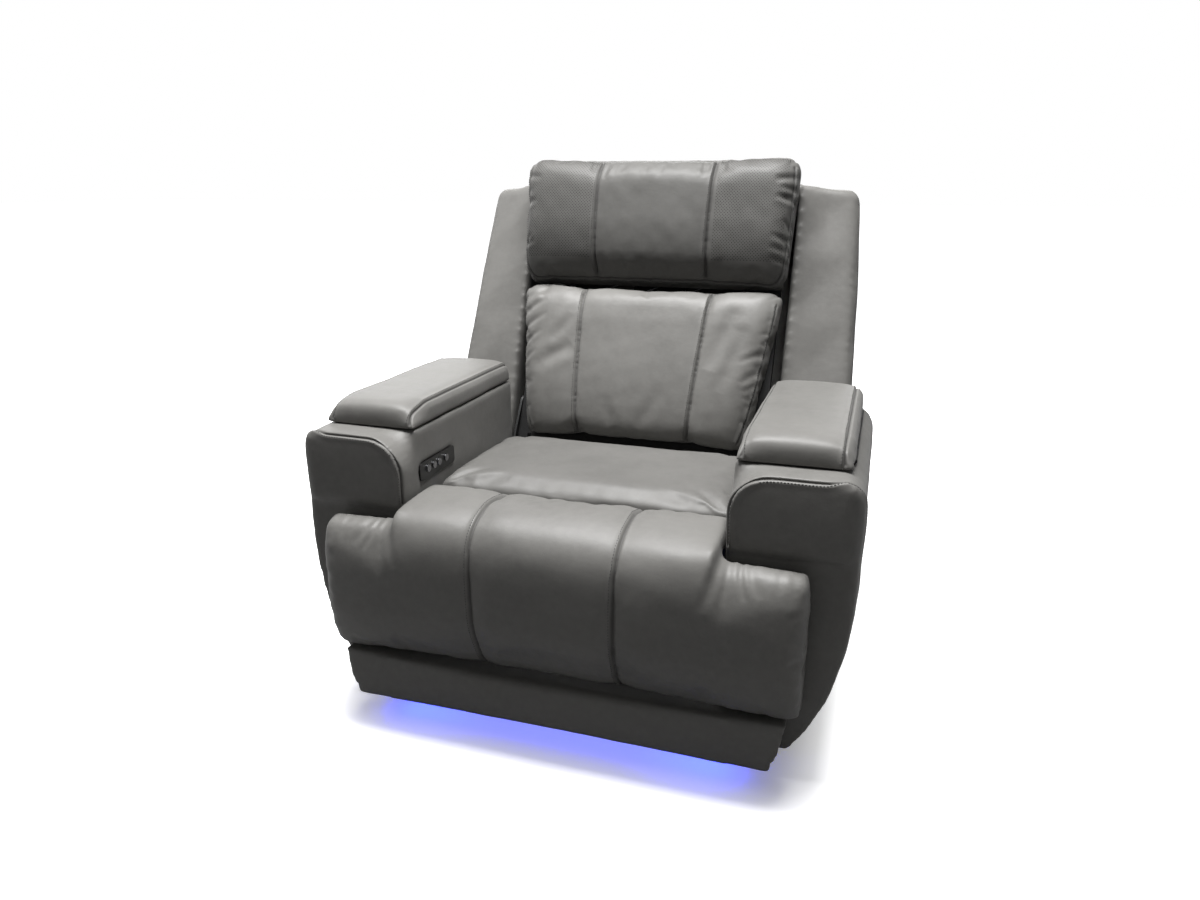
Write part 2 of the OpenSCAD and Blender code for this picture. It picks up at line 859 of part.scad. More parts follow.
module seat_side_rail(side) {
    on_side(side) color(steel)
        block([frame_x0, seat_frame_y0, cross_z1], [frame_x1, seat_frame_y1, seat_frame_z1]);
}

module seat_left_rail() { seat_side_rail(-1); }
module seat_right_rail() { seat_side_rail(1); }

module seat_end_rail(y) {
    color(steel)
        block([-frame_x0, y, cross_z1], [frame_x0, y + tube_s, seat_frame_z1]);
}

module seat_front_rail() { seat_end_rail(seat_frame_y0); }
module seat_rear_rail() { seat_end_rail(seat_frame_y1 - tube_s); }

// A flat sinuous spring: a strip of even width that waves from side to side along Y
module sinuous(l, wave_w, wire_w, waves) {
    steps = 8 * waves;
    line = [for (i = [0:steps]) [wave_w / 2 * sin(360 * waves * i / steps), l * i / steps]];
    linear_extrude(height = spring_t)
        polygon(concat(
            [for (i = [0:steps]) line[i] + [wire_w / 2, 0]],
            [for (i = [steps:-1:0]) line[i] - [wire_w / 2, 0]]));
}

spring_wave_w = 44;
spring_wire_w = 5;
spring_x = 108;

module seat_springs() {
    color(steel)
        for (i = [-2:2])
            translate([i * spring_x, seat_frame_y0, seat_frame_z1])
                sinuous(seat_frame_y1 - seat_frame_y0, spring_wave_w, spring_wire_w, 7);
}

// A sewn cushion: width 2 hw, length 2 hl along Z, its back at Y 0 and its crowned front at Y -t
module cushion(hw, hl, t, seam_share, depth, taper, p, q, crown, base_slope = 0) {
    n = 28;
    side_round = 7;
    rows = stations(seam_share, 0.025);
    color(leather)
        skin([for (s = rows) let (f = fullness(s * 0.998, side_round))
            [for (j = [0:n - 1]) let (a = 360 * j / n, c = sign_power(cos(a), p), v = sign_power(sin(a), q),
                groove = channel(s, seam_share, depth, 0.03) * (v < 0 ? 1 : 0) * min(1, 2 * abs(v)),
                swell = v < 0 ? 1 - crown * pow(c, 2) - crown * pow(s, 4) : 1,
                y = t / 2 * ((0.55 + 0.45 * f) * v * swell - 1) + groove)
                [s * hw * (1 + taper * c), y,
                    hl * c * (0.94 + 0.06 * f) - min(0, c) * base_slope * (y + t)]]]);
}

seat_side_gap = 0.5;
seat_front_gap = 2;

module seat_cushion() {
    hl = (seat_frame_y1 - crease_y - seat_front_gap) / 2;
    seam_share = 0.5;
    translate([0, crease_y + seat_front_gap + hl, seat_frame_z1 + spring_t + seat_gap])
        rotate([-90, 0, 0])
            cushion(plate_x0 - seat_side_gap, hl, seat_h - seat_frame_z1 - spring_t - seat_gap,
                seam_share, 0, 0, 0.3, 0.45, 0.05);
}

// Back: everything here leans about the back's pivot

module in_back() {
    translate([0, back_pivot[0], back_pivot[1]])
        rotate([-back_lean, 0, 0])
            children();
}

shell_v0 = 52;
shell_front_w = 11;
shell_inner_rise = 43;
shell_rear_w = shell_front_w + back_t;
shell_rear_t = 39;
cavity_side = 12;
cavity_hw = seat_hw + cavity_side;
cavity_top = 27;
frame_w0 = 10;
frame_v0 = 55;
frame_v1 = back_h - cavity_top - slip;
low_rail_v = 70;
mid_rail_v = 488;

// Half width of the back shell at a share of its length
function shell_hw(share) = back_low_hw + (back_top_hw - back_low_hw) * share;

// A cross-section of the shell, drawn in by an inset near its ends
function shell_ring(v, share, inset) =
    let (hw = shell_hw(share) - inset, front_r = 20, rear_r = 40, face_a = 80,
        half = concat([[cavity_hw, shell_front_w - shell_inner_rise * share + inset]],
            arc([hw - front_r, shell_front_w + inset + front_r], front_r, -face_a, 0, 4),
            arc([hw - rear_r, shell_rear_w - inset - rear_r], rear_r, 0, 90, 6)),
        m = len(half))
    concat([for (p = half) [p[0], p[1], v]],
        [for (i = [m - 1:-1:0]) [-half[i][0], half[i][1], v]]);

module back_shell() {
    edge_r = 16;
    turns = [0, 30, 60, 90];
    rear_cut = shell_rear_w - shell_rear_t;
    color(leather)
        in_back()
            difference() {
                skin(concat(
                    [for (a = turns) shell_ring(shell_v0 + edge_r * (1 - cos(a)), 0, edge_r * (1 - sin(a)))],
                    [for (s = [0.25, 0.5, 0.75]) shell_ring(shell_v0 + s * (back_h - shell_v0), s, 0)],
                    [for (a = turns) shell_ring(back_h - edge_r * (1 - sin(a)), 1, edge_r * (1 - cos(a)))]));
                block([-cavity_hw, shell_front_w - shell_inner_rise - over, shell_v0 - over],
                    [cavity_hw, rear_cut, back_h - cavity_top]);
            }
}

module back_post(side) {
    bracket_w = 34;
    bracket_l = 150;
    foot = [0, 0];
    top = [frame_w0 + tube_s / 2, bracket_l];
    on_side(side) color(steel)
        in_back() {
            block([outer_x0 - tube_s, frame_w0, frame_v0], [outer_x0, frame_w0 + tube_s, frame_v1]);
            difference() {
                strap(outer_x0, outer_x1, foot, top, bracket_w);
                cross_pin(outer_x0 - over, outer_x1 + over, foot, hole_r);
            }
        }
}

module back_left_post() { back_post(-1); }
module back_right_post() { back_post(1); }

module back_rail(v) {
    color(steel)
        in_back()
            block([tube_s - outer_x0, frame_w0, v], [outer_x0 - tube_s, frame_w0 + tube_s, v + tube_s]);
}

headrest_w = -22;
headrest_v = 500;
headrest_tilt = 8.3;
head_arm_x = 150;
head_arm_w = 20;
head_pin_l = 5;

module back_top_rail() { back_rail(frame_v1 - tube_s); }

// Low rail of the back, and the middle rail whose two arms carry the headrest
module back_low_rail() {
    arm_half_h = 8;
    back_rail(low_rail_v);
    back_rail(mid_rail_v);
    color(steel)
        in_back()
            for (x = [-head_arm_x, head_arm_x]) {
                block([x - head_arm_w / 2, headrest_w, headrest_v - arm_half_h],
                    [x + head_arm_w / 2, frame_w0, headrest_v + arm_half_h]);
                cross_pin(x - head_arm_w / 2, x + head_arm_w / 2, [headrest_w, headrest_v], arm_half_h);
                cross_pin(x - head_arm_w / 2 - head_pin_l, x + head_arm_w / 2 + head_pin_l,
                    [headrest_w, headrest_v], pin_r);
            }
}

module back_springs() {
    color(steel)
        in_back()
            for (i = [-2:2])
                translate([i * spring_x, frame_w0, low_rail_v])
                    rotate([90, 0, 0])
                        sinuous(mid_rail_v + tube_s - low_rail_v, spring_wave_w, spring_wire_w, 8);
}

back_pad_v0 = 58;
back_pad_taper = 0.095;
back_channel = 7;
back_pad_hw = 295;

module back_cushion() {
    hl = back_pad_h / 2;
    in_back()
        translate([0, frame_w0 - spring_t - seat_gap, back_pad_v0 + hl])
            cushion(back_pad_hw, hl, back_pad_t + frame_w0 - spring_t, back_seam_x / back_pad_hw,
                back_channel, back_pad_taper, 0.4, 0.55, 0.1, tan(back_lean));
}

// Tilt motor for the headrest, behind the middle rail
module headrest_motor() {
    hw = 60;
    h = 60;
    d = 55;
    color(black_plastic)
        in_back()
            block([-hw, frame_w0 + tube_s, mid_rail_v - h / 2], [hw, frame_w0 + tube_s + d, mid_rail_v + h]);
}

module in_head() {
    in_back()
        translate([0, headrest_w, headrest_v])
            rotate([headrest_tilt, 0, 0])
                children();
}

head_low = -46;
head_board_rise = 30;
head_board_drop = 40;
head_rear = 14;
head_board_inset = 52;
ear_t = 4;
head_pocket_z0 = -26;
head_pocket_z1 = 20;
head_pocket_hw = 19;

// Plywood headrest board with two ears at each arm
module headrest_board() {
    board_hw = head_hw - head_board_inset;
    z1 = head_h + head_low - head_board_drop;
    ear_r = 11;
    in_head() {
        color(plywood)
            difference() {
                block([-board_hw, seat_gap, head_low + head_board_rise], [board_hw, seat_gap + ply_t, z1]);
                for (x = [-head_arm_x, head_arm_x])
                    block([x - head_pocket_hw, -over, head_low + head_board_rise - over],
                        [x + head_pocket_hw, ply_t + 2 * over, head_pocket_z1]);
            }
        color(steel)
            for (x = [-head_arm_x, head_arm_x], end = [-1, 1])
                let (x0 = x + end * (head_arm_w / 2 + slip + ear_t / 2) - ear_t / 2)
                    difference() {
                        union() {
                            cross_pin(x0, x0 + ear_t, [0, 0], ear_r);
                            block([x0, 0, -ear_r],
                                [x0 + ear_t, seat_gap + ply_t, head_pocket_z1 + seat_gap]);
                        }
                        cross_pin(x0 - over, x0 + ear_t + over, [0, 0], hole_r);
                    }
    }
}

module headrest_cushion() {
    hl = head_h / 2;
    pocket_d = 16;
    head_channel = 5;
    board_hw = head_hw - head_board_inset;
    in_head()
        color(leather)
            difference() {
                translate([0, head_rear, head_low + hl])
                    cushion(head_hw, hl, head_t - head_rear * 2, head_seam_x / head_hw, head_channel,
                        0.02, 0.4, 0.5, 0.04);
                block([-board_hw - seat_gap, 0, head_low + head_board_rise - seat_gap],
                    [board_hw + seat_gap, head_rear + over, head_low + head_h - head_board_drop + seat_gap]);
                for (x = [-head_arm_x, head_arm_x])
                    block([x - head_pocket_hw, -pocket_d, head_pocket_z0],
                        [x + head_pocket_hw, head_rear + over, head_pocket_z1]);
            }
}

// Footrest

board_y0 = pad_rear_y + seat_gap;
board_y1 = board_y0 + ply_t;
board_inset = 30;
board_hw = pad_w / 2 - board_inset;
board_rise = 12;
board_z0 = pad_low_z + board_rise;
roll_low_z = 428;
roll_flat_share = 0.742;
shelf_hw = 285;
shelf_y1 = pad_rear_y + (crease_y - pad_rear_y) * roll_flat_share;

// Plywood board behind the pad, with a shelf under its roll
module footrest_board() {
    color(plywood) {
        block([-board_hw, board_y0, board_z0], [board_hw, board_y1, roll_low_z - seat_gap]);
        block([-shelf_hw, board_y1, roll_low_z - seat_gap - ply_t],
            [shelf_hw, shelf_y1, roll_low_z - seat_gap]);
    }
}

module footrest_bracket(side) {
    flange_t = 3;
    reach = 22;
    turn_a = 30;
    on_side(side) color(steel) {
        block([frame_x1, board_y1, board_bar_pivot[1] - reach],
            [outer_x1, board_y1 + flange_t, board_pivot[1] + reach]);
        side_form(outer_x0, outer_x1)
            polygon(concat([[board_y1, board_bar_pivot[1] - reach]],
                arc(board_bar_pivot, rivet_r + flange_t, -2 * turn_a, turn_a),
                arc(board_pivot, rivet_r + flange_t, turn_a, 3 * turn_a),
                [[board_y1, board_pivot[1] + reach]]));
        rivet(outer_x0, inner_x0, board_pivot);
        rivet(outer_x0, inner_x0, board_bar_pivot);
    }
}

module left_footrest_bracket() { footrest_bracket(-1); }
module right_footrest_bracket() { footrest_bracket(1); }

pad_seam_share = pad_seam_x / (pad_w / 2);
stem_gap = 4;
stem_share = (seat_hw - stem_gap) / (pad_w / 2);
pad_half_shares = [0.13, 0.22, pad_seam_share - 0.018, pad_seam_share, pad_seam_share + 0.018,
    0.42, 0.54, 0.63, stem_share, stem_share + 0.006, 0.74, 0.83, 0.9, 0.95, 0.985, 1];
pad_channel = 7;
// Front profile of the pad from its lower edge up: height and depth as shares
pad_front_shares = [[0, 0.1], [0, 0.32], [0.03, 0.55], [0.09, 0.74], [0.2, 0.88], [0.35, 0.97], [0.52, 1],
    [0.68, 0.99], [0.8, 0.95], [0.88, 0.88], [0.94, 0.78]];

function pad_stations() = let (n = len(pad_half_shares))
    concat([for (i = [0:n - 1]) -pad_half_shares[n - 1 - i]], [0], pad_half_shares);

// Top of the stem back to the crease: depth share of the roll, drop share of the pad, share of the channel
roll_top_shares = [[-0.317, 0.066, 0.5], [-0.115, 0, 1], [0.152, -0.013, 1], [0.455, -0.013, 1],
    [0.818, 0, 1], [0.932, 0.092, 0], [0.985, 0.263, 0], [0.97, 0.447, 0]];
// Underside of the stem: depth share of the roll, rise share of the pad
roll_low_shares = [[0.879, 0.053], [roll_flat_share, 0], [0, 0], [0, -0.079]];
// Top edge of a wing: share of its depth, drop share of its height over the board
wing_top_shares = [[0.6, 0.29], [0.35, 0.05], [0.25, 0], [0.18, 0], [0.1, 0.05], [0.08, 0.1], [0.04, 0.19],
    [0.013, 0.33], [0, 0.5], [0, 0.65], [0, 0.8], [0, 0.95]];
pad_rear_shares = [0.3, 0.06];
pad_crown = 5;
wing_corner_drop = 14;
wing_corner_rise = 16;

// Section of the foot pad at a station: wings end under the arm fronts, the stem rolls back to the seat
function pad_ring(s) =
    let (f = fullness(s * 0.999, 6),
        stem = abs(s) <= stem_share + 0.001,
        top = stem
            ? seat_h - pad_crown * pow(abs(s) / stem_share, 4)
            : wing_top_z - wing_corner_drop * (1 - f),
        low = pad_low_z + wing_corner_rise * (1 - f),
        h = top - low,
        depth = pad_t * (0.5 + 0.5 * f),
        sink = channel(s, pad_seam_share, pad_channel, 0.02),
        r = pad_rear_y,
        roll = crease_y - pad_rear_y)
    [for (p = concat(
        [for (k = pad_front_shares) [r - depth * k[1] + (k[1] > 0.5 ? sink : 0), low + k[0] * h]],
        stem
            ? concat([for (k = roll_top_shares) [r + roll * k[0], top - pad_t * k[1] - sink * k[2]]],
                [for (k = roll_low_shares) [r + roll * k[0], roll_low_z + pad_t * k[1]]])
            : [for (k = wing_top_shares) [r - depth * k[0], top - (wing_top_z - roll_low_z) * k[1]]],
        [for (k = pad_rear_shares) [r, low + k * h]])) [s * pad_w / 2, p[0], p[1]]];

module footrest_pad() {
    color(leather)
        skin([for (s = pad_stations()) pad_ring(s)]);
}

left_arm();
right_arm();
left_bin();
right_bin();
left_base_rail();
right_base_rail();
front_rail();
rear_rail();
feet();
light_strip();
control_plate();
power_inlet();
power_box();
left_side_plate();
right_side_plate();
front_cross_tube();
rear_cross_tube();
drive_motor();
drive_rail();
drive_carriage();
seat_left_rail();
seat_right_rail();
seat_front_rail();
seat_rear_rail();
seat_springs();
seat_cushion();
left_lid_hinge();
right_lid_hinge();
left_lid_board();
right_lid_board();
left_lid_pad();
right_lid_pad();
button_1();
button_2();
button_3();
button_4();
back_left_post();
back_right_post();
back_top_rail();
back_low_rail();
back_shell();
back_springs();
back_cushion();
headrest_motor();
headrest_board();
headrest_cushion();
footrest_board();
footrest_pad();
left_footrest_bracket();
right_footrest_bracket();
left_swing_link();
right_swing_link();
torque_tube();
left_lift_link();
right_lift_link();
left_guide_bar();
right_guide_bar();
left_board_bar();
right_board_bar();
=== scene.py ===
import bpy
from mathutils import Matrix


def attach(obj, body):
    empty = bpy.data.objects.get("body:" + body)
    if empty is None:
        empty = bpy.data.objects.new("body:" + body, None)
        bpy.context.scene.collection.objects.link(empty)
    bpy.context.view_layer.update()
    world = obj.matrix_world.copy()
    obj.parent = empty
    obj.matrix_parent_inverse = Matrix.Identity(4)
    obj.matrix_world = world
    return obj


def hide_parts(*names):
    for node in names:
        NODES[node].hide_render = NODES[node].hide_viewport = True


bl_info = {
    "name": "Cinema recliner seat dressing",
    "version": (1, 0, 0),
    "blender": (4, 5, 0),
    "location": "3D View > Sidebar > Recliner",
    "description": "Upholsters and finishes the packed recliner seat",
    "category": "Object",
}

import math

import bmesh
import bpy
import numpy as np
from bpy.props import FloatProperty, FloatVectorProperty, PointerProperty
from mathutils import Vector
from mathutils.bvhtree import BVHTree
from mathutils.kdtree import KDTree

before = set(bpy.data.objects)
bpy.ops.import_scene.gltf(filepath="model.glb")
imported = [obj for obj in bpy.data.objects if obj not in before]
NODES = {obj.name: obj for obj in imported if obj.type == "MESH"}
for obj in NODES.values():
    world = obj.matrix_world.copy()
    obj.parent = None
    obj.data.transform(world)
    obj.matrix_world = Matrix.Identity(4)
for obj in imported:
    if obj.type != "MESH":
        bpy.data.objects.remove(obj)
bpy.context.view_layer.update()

BACK_LEAN = math.radians(24.7)
BACK_PIVOT = (0.0865, 0.400)
HEAD_AT = (-0.022, 0.500)
HEAD_TILT = math.radians(8.3)

# Sizes of the solids that the covers follow, in metres.
BACK_LOW, BACK_HIGH, BACK_RISE = 0.058, 0.438, 0.38
HEAD_LOW, HEAD_HIGH, HEAD_HALF = -0.046, 0.254, 0.335
PAD_LOW, PAD_HALF, PAD_WING_TOP = 0.1585, 0.471, 0.449
RAIL_LOW, RAIL_HEIGHT, RAIL_HALF = 0.045, 0.102, 0.446
LID_MID, LID_HALF, LID_SEAMS = 0.4195, 0.103, (0.3285, 0.5045)
POD_CORNER, POD_CORNER_R = (0.394, 0.517), 0.078

# How far a row of stitches lies from a plain seam, a rim's seam or a wide lap, and how far it stands up.
BESIDE_SEAM, BESIDE_RIM, BESIDE_LAP = 0.0062, 0.0055, 0.0064
THREAD_LIFT, HOLE_LIFT = 0.0003, 0.00025

CLOTH_STEPS = 20

# The camera: its lens and sensor in millimetres, its turn and drop in degrees, its place in metres.
LENS, SENSOR = 26.1, 36
CAMERA_TURN, CAMERA_DROP = 17.91, 17.20
CAMERA_AT = (0.540, -1.825, 1.0675)

# The floor's shares of its own brightness for glossy rays, and the room's for rays other than the camera's.
GLOSSY_SHARE, ROOM_SHARE = 0.15, 0.20


# Settings that a user would change.


class SeatLeatherSettings(bpy.types.PropertyGroup):
    tone: FloatVectorProperty(
        name="Leather tone",
        description="Colour of the smooth hide",
        subtype="COLOR",
        size=3,
        min=0,
        max=1,
        default=(0.125, 0.122, 0.115),
    )
    thread: FloatVectorProperty(
        name="Thread tone",
        description="Colour of the sewing thread",
        subtype="COLOR",
        size=3,
        min=0,
        max=1,
        default=(0.020, 0.020, 0.019),
    )
    roughness: FloatProperty(
        name="Roughness",
        description="Roughness of the finished hide",
        default=0.48,
        min=0.1,
        max=1,
        subtype="FACTOR",
    )
    grain: FloatProperty(
        name="Grain size",
        description="Size of one pebble of the grain",
        default=0.0016,
        min=0.0005,
        max=0.01,
        unit="LENGTH",
    )


class SeatSewingSettings(bpy.types.PropertyGroup):
    pitch: FloatProperty(
        name="Stitch pitch",
        description="Distance from one stitch to the next",
        default=0.0058,
        min=0.002,
        max=0.02,
        unit="LENGTH",
    )
    thread_r: FloatProperty(
        name="Thread radius",
        description="Radius of the sewing thread",
        default=0.0008,
        min=0.0002,
        max=0.002,
        unit="LENGTH",
    )
    hole_pitch: FloatProperty(
        name="Perforation pitch",
        description="Distance between the holes punched in the headrest sides",
        default=0.0075,
        min=0.003,
        max=0.02,
        unit="LENGTH",
    )
    hole_r: FloatProperty(
        name="Perforation radius",
        description="Radius of one punched hole",
        default=0.0011,
        min=0.0003,
        max=0.004,
        unit="LENGTH",
    )


class SeatLightSettings(bpy.types.PropertyGroup):
    glow: FloatVectorProperty(
        name="Glow colour",
        description="Colour of the light under the base",
        subtype="COLOR",
        size=3,
        min=0,
        max=1,
        default=(0.006, 0.040, 1.0),
    )
    glow_power: FloatProperty(
        name="Glow power",
        description="Strength of the light strip under the base",
        default=24.0,
        min=0,
        max=200,
    )


# Places on the back and the headrest, which lean and tilt with their frames.


def back_place(x, w, v):
    """A place on the leaning back: across, behind its face, and up along it."""
    c, s = math.cos(BACK_LEAN), math.sin(BACK_LEAN)
    return x, BACK_PIVOT[0] + w * c + v * s, BACK_PIVOT[1] - w * s + v * c


def back_coords(co):
    """Across, behind and along the back, for places in the row frame."""
    c, s = math.cos(BACK_LEAN), math.sin(BACK_LEAN)
    y, z = co[:, 1] - BACK_PIVOT[0], co[:, 2] - BACK_PIVOT[1]
    return co[:, 0], y * c - z * s, y * s + z * c


def head_coords(co):
    """Across, behind and along the headrest, for places in the row frame."""
    x, w, v = back_coords(co)
    w, v = w - HEAD_AT[0], v - HEAD_AT[1]
    c, s = math.cos(HEAD_TILT), math.sin(HEAD_TILT)
    return x, w * c + v * s, v * c - w * s


def head_place(x, w, v):
    """A place on the headrest in the row frame."""
    c, s = math.cos(HEAD_TILT), math.sin(HEAD_TILT)
    return back_place(x, HEAD_AT[0] + w * c - v * s, HEAD_AT[1] + w * s + v * c)


def turns(first, last, step):
    """The cosine and sine of each angle, from degrees."""
    return [(math.cos(a), math.sin(a)) for a in map(math.radians, np.arange(first, last, step))]


def back_half(v):
    """Half the back cushion's width at a height along the back."""
    return 0.267 + 0.056 * (v - BACK_LOW) / BACK_RISE


def way_in(place_at, first, last):
    """A ray in a leaning frame, as its start and its way."""
    start, end = np.array(place_at(*first)), np.array(place_at(*last))
    return start, end - start


def ways_in(place_at, x, spots):
    """Rays in a leaning frame, at one distance across.

    Each spot is start behind, start along, end behind, end along.
    """
    return [way_in(place_at, (x, w0, v0), (x, w1, v1)) for w0, v0, w1, v1 in spots]


def section_spots(front, low, high, mid, step=0.006, bend=70):
    """Spots up the front of a cushion, easing round its lower and upper edges."""
    spots = [(mid - 0.4 * c, low + 0.4 * d, mid, low) for c, d in turns(-bend, 1, 6)]
    spots += [(front - 0.3, v, mid, v) for v in np.arange(low, high, step)]
    return spots + [(mid - 0.4 * c, high + 0.4 * d, mid, high) for c, d in turns(0, bend + 1, 6)]


# Shader maths.


class Wire:
    """A socket or number in a material, with arithmetic."""

    def __init__(self, shop, value):
        self.shop, self.value = shop, value

    def __add__(self, other):
        return self.shop.maths("ADD", self, other)

    def __sub__(self, other):
        return self.shop.maths("SUBTRACT", self, other)

    def __mul__(self, other):
        return self.shop.maths("MULTIPLY", self, other)

    def __truediv__(self, other):
        return self.shop.maths("DIVIDE", self, other)


class Finish:
    """One material under construction, from its object coordinates to its shader."""

    def __init__(self, name):
        self.material = bpy.data.materials.new(name)
        self.material.use_nodes = True
        self.tree = self.material.node_tree
        self.tree.nodes.clear()
        self.coords = self.node("ShaderNodeTexCoord").value.node.outputs["Object"]

    def plug(self, socket, value):
        """Links or sets a socket."""
        if isinstance(value, Wire):
            value = value.value
        if isinstance(value, bpy.types.NodeSocket):
            self.tree.links.new(value, socket)
        elif isinstance(value, (tuple, list)) and len(value) == 3 and socket.type == "RGBA":
            socket.default_value = (*value, 1)
        else:
            socket.default_value = value

    def node(self, kind, settings=None, out=0, **sockets):
        """One node: its settings first, then the values or links of its sockets."""
        made = self.tree.nodes.new(kind)
        for key, value in (settings or {}).items():
            setattr(made, key, value)
        for key, value in sockets.items():
            key = int(key[1:]) if key[0] == "_" else key.replace("_", " ")
            self.plug(made.inputs[key], value)
        return Wire(self, made.outputs[out])

    def maths(self, kind, a, b=0.0):
        """A sum or other operation on two numbers."""
        return self.node("ShaderNodeMath", {"operation": kind}, _0=a, _1=b)

    def noise(self, scale, detail=3.0, rough=0.55, where=None):
        """Soft noise from 0 to 1, about scale lumps to the metre."""
        return self.node(
            "ShaderNodeTexNoise",
            Vector=where or self.coords,
            Scale=scale,
            Detail=detail,
            Roughness=rough,
        )

    def spread(self, value, low, high, to_low=0.0, to_high=1.0):
        """The value's range from low to high, laid over another range and held within it."""
        return self.node(
            "ShaderNodeMapRange",
            {"clamp": True},
            Value=value,
            From_Min=low,
            From_Max=high,
            To_Min=to_low,
            To_Max=to_high,
        )

    def tint(self, factor, first, second):
        """A colour between two colours."""
        return self.node(
            "ShaderNodeMix",
            {"data_type": "RGBA"},
            out=2,
            _0=factor,
            _6=first,
            _7=second,
        )

    def bump(self, height, strength, distance, under=None):
        """Fine relief, on top of other relief if it is given."""
        sockets = {"Height": height, "Strength": strength, "Distance": distance}
        if under is not None:
            sockets["Normal"] = under
        return self.node("ShaderNodeBump", **sockets)

    def mark(self, name):
        """A number kept on the piece's own points."""
        return self.node("ShaderNodeAttribute", {"attribute_name": name}, out=2)

    def done(self, **sockets):
        """The finished material, its main shader given by sockets."""
        shader = self.node("ShaderNodeBsdfPrincipled", **sockets)
        output = self.tree.nodes.new("ShaderNodeOutputMaterial")
        self.tree.links.new(shader.value, output.inputs["Surface"])
        return self.material


def mixed(tone, share):
    """A colour made lighter or darker by a share."""
    return tuple(min(1.0, max(0.0, c * share)) for c in tone)


def leather_finish(name, settings, shine, shade_share):
    """Smooth corrected hide: soft cloudy tone, fine pebbled grain, small creases, painted shade in the seam
    valleys and over darker copies, painted highlight where marked.
    """
    f = Finish(name)
    # The tone times the given share: below 1, the whole piece is darkened as painted shade.
    tone = mixed(settings.tone, shade_share)
    cloud = f.noise(5.0, 4.0, 0.6)
    fleck = f.noise(60.0, 3.0, 0.6)
    seam = f.mark("seam")
    painted_highlight = f.mark("painted_highlight")
    base = f.tint(f.spread(cloud, 0.3, 0.7), mixed(tone, 0.90), mixed(tone, 1.12))
    base = f.tint(f.spread(fleck, 0.35, 0.75, 0.0, 0.35), base, mixed(tone, 1.3))
    # Painted highlight: lighter where the mark is set, standing in for light on the tops. No piece sets it
    # above zero.
    base = f.tint(painted_highlight * 0.35, base, mixed(tone, 1.9))
    # Painted shade: darker in the seam valleys.
    base = f.tint(seam * 0.75, base, mixed(tone, 0.35))
    cells = f.node(
        "ShaderNodeTexVoronoi",
        {"feature": "DISTANCE_TO_EDGE"},
        Vector=f.coords,
        Scale=1 / settings.grain,
    )
    pebble = f.spread(cells, 0.0, 0.25)
    fine = f.noise(900.0, 2.0, 0.5)
    crease = f.noise(26.0, 5.0, 0.62)
    relief = f.bump(pebble * 0.6 + fine * 0.4, 0.16, 0.0004)
    relief = f.bump(crease, 0.20, 0.0035, relief)
    rough = f.spread(cloud, 0.3, 0.7, settings.roughness * shine - 0.05, settings.roughness * shine + 0.05)
    rough = rough + f.spread(pebble, 0.0, 1.0, 0.05, 0.0) + seam * 0.2
    return f.done(
        Base_Color=base,
        Roughness=rough,
        Specular_IOR_Level=0.40,
        Sheen_Weight=0.06,
        Sheen_Roughness=0.5,
        Normal=relief,
    )


def thread_finish(settings):
    """Twisted sewing thread with a slight sheen."""
    f = Finish("sewing_thread")
    twist = f.node(
        "ShaderNodeTexWave",
        {"wave_type": "BANDS", "bands_direction": "DIAGONAL"},
        Vector=f.coords,
        Scale=900.0,
        Distortion=0.4,
    )
    return f.done(
        Base_Color=f.tint(twist, mixed(settings.thread, 0.7), mixed(settings.thread, 1.6)),
        Roughness=0.55,
        Sheen_Weight=0.2,
        Normal=f.bump(twist, 0.4, 0.0002),
    )


def lining_finish():
    """Dark close-woven lining cloth."""
    f = Finish("lining_cloth")
    warp = f.node("ShaderNodeTexWave", {"bands_direction": "X"}, Vector=f.coords, Scale=420.0, Distortion=0.6)
    weft = f.node("ShaderNodeTexWave", {"bands_direction": "Z"}, Vector=f.coords, Scale=420.0, Distortion=0.6)
    weave = f.maths("MAXIMUM", warp, weft)
    return f.done(
        Base_Color=f.tint(weave, (0.010, 0.010, 0.010), (0.026, 0.026, 0.025)),
        Roughness=0.95,
        Normal=f.bump(weave, 0.5, 0.0004),
    )


def plywood_finish():
    """Dark stained plywood: long grain, pores and darker figure."""
    f = Finish("stained_plywood")
    long = f.node("ShaderNodeMapping", Vector=f.coords, Scale=(2.0, 14.0, 14.0))
    grain = f.noise(6.0, 5.0, 0.65, long)
    fine = f.noise(60.0, 3.0, 0.6, long)
    tone = f.tint(f.spread(grain, 0.3, 0.7), (0.050, 0.034, 0.022), (0.085, 0.058, 0.038))
    tone = f.tint(f.spread(fine, 0.55, 0.75, 0.0, 0.5), tone, (0.022, 0.015, 0.010))
    return f.done(
        Base_Color=tone,
        Roughness=f.spread(grain, 0.3, 0.7, 0.55, 0.75),
        Normal=f.bump(fine, 0.25, 0.0006),
    )


def steel_finish(name, tone, metal, rough, speckle):
    """Painted or bare steel with a slight orange-peel and rubbed patches."""
    f = Finish(name)
    peel = f.noise(380.0, 2.0)
    patch = f.noise(9.0, 4.0, 0.6)
    return f.done(
        Base_Color=f.tint(f.spread(patch, 0.35, 0.75, 0.0, speckle), tone, mixed(tone, 1.9)),
        Metallic=metal,
        Roughness=f.spread(patch, 0.3, 0.7, rough - 0.06, rough + 0.08),
        Normal=f.bump(peel, 0.12, 0.0004),
    )


def plastic_finish(name, tone, rough, coat):
    """Moulded plastic with a fine spark texture and a few fingered, duller patches."""
    f = Finish(name)
    spark = f.noise(650.0, 2.0, 0.6)
    haze = f.noise(14.0, 3.0, 0.6)
    return f.done(
        Base_Color=f.tint(f.spread(haze, 0.35, 0.75), tone, mixed(tone, 1.5)),
        Roughness=f.spread(haze, 0.3, 0.75, rough, rough + 0.12),
        Coat_Weight=coat,
        Coat_Roughness=0.05,
        Normal=f.bump(spark, 0.10 if coat else 0.35, 0.0003),
    )


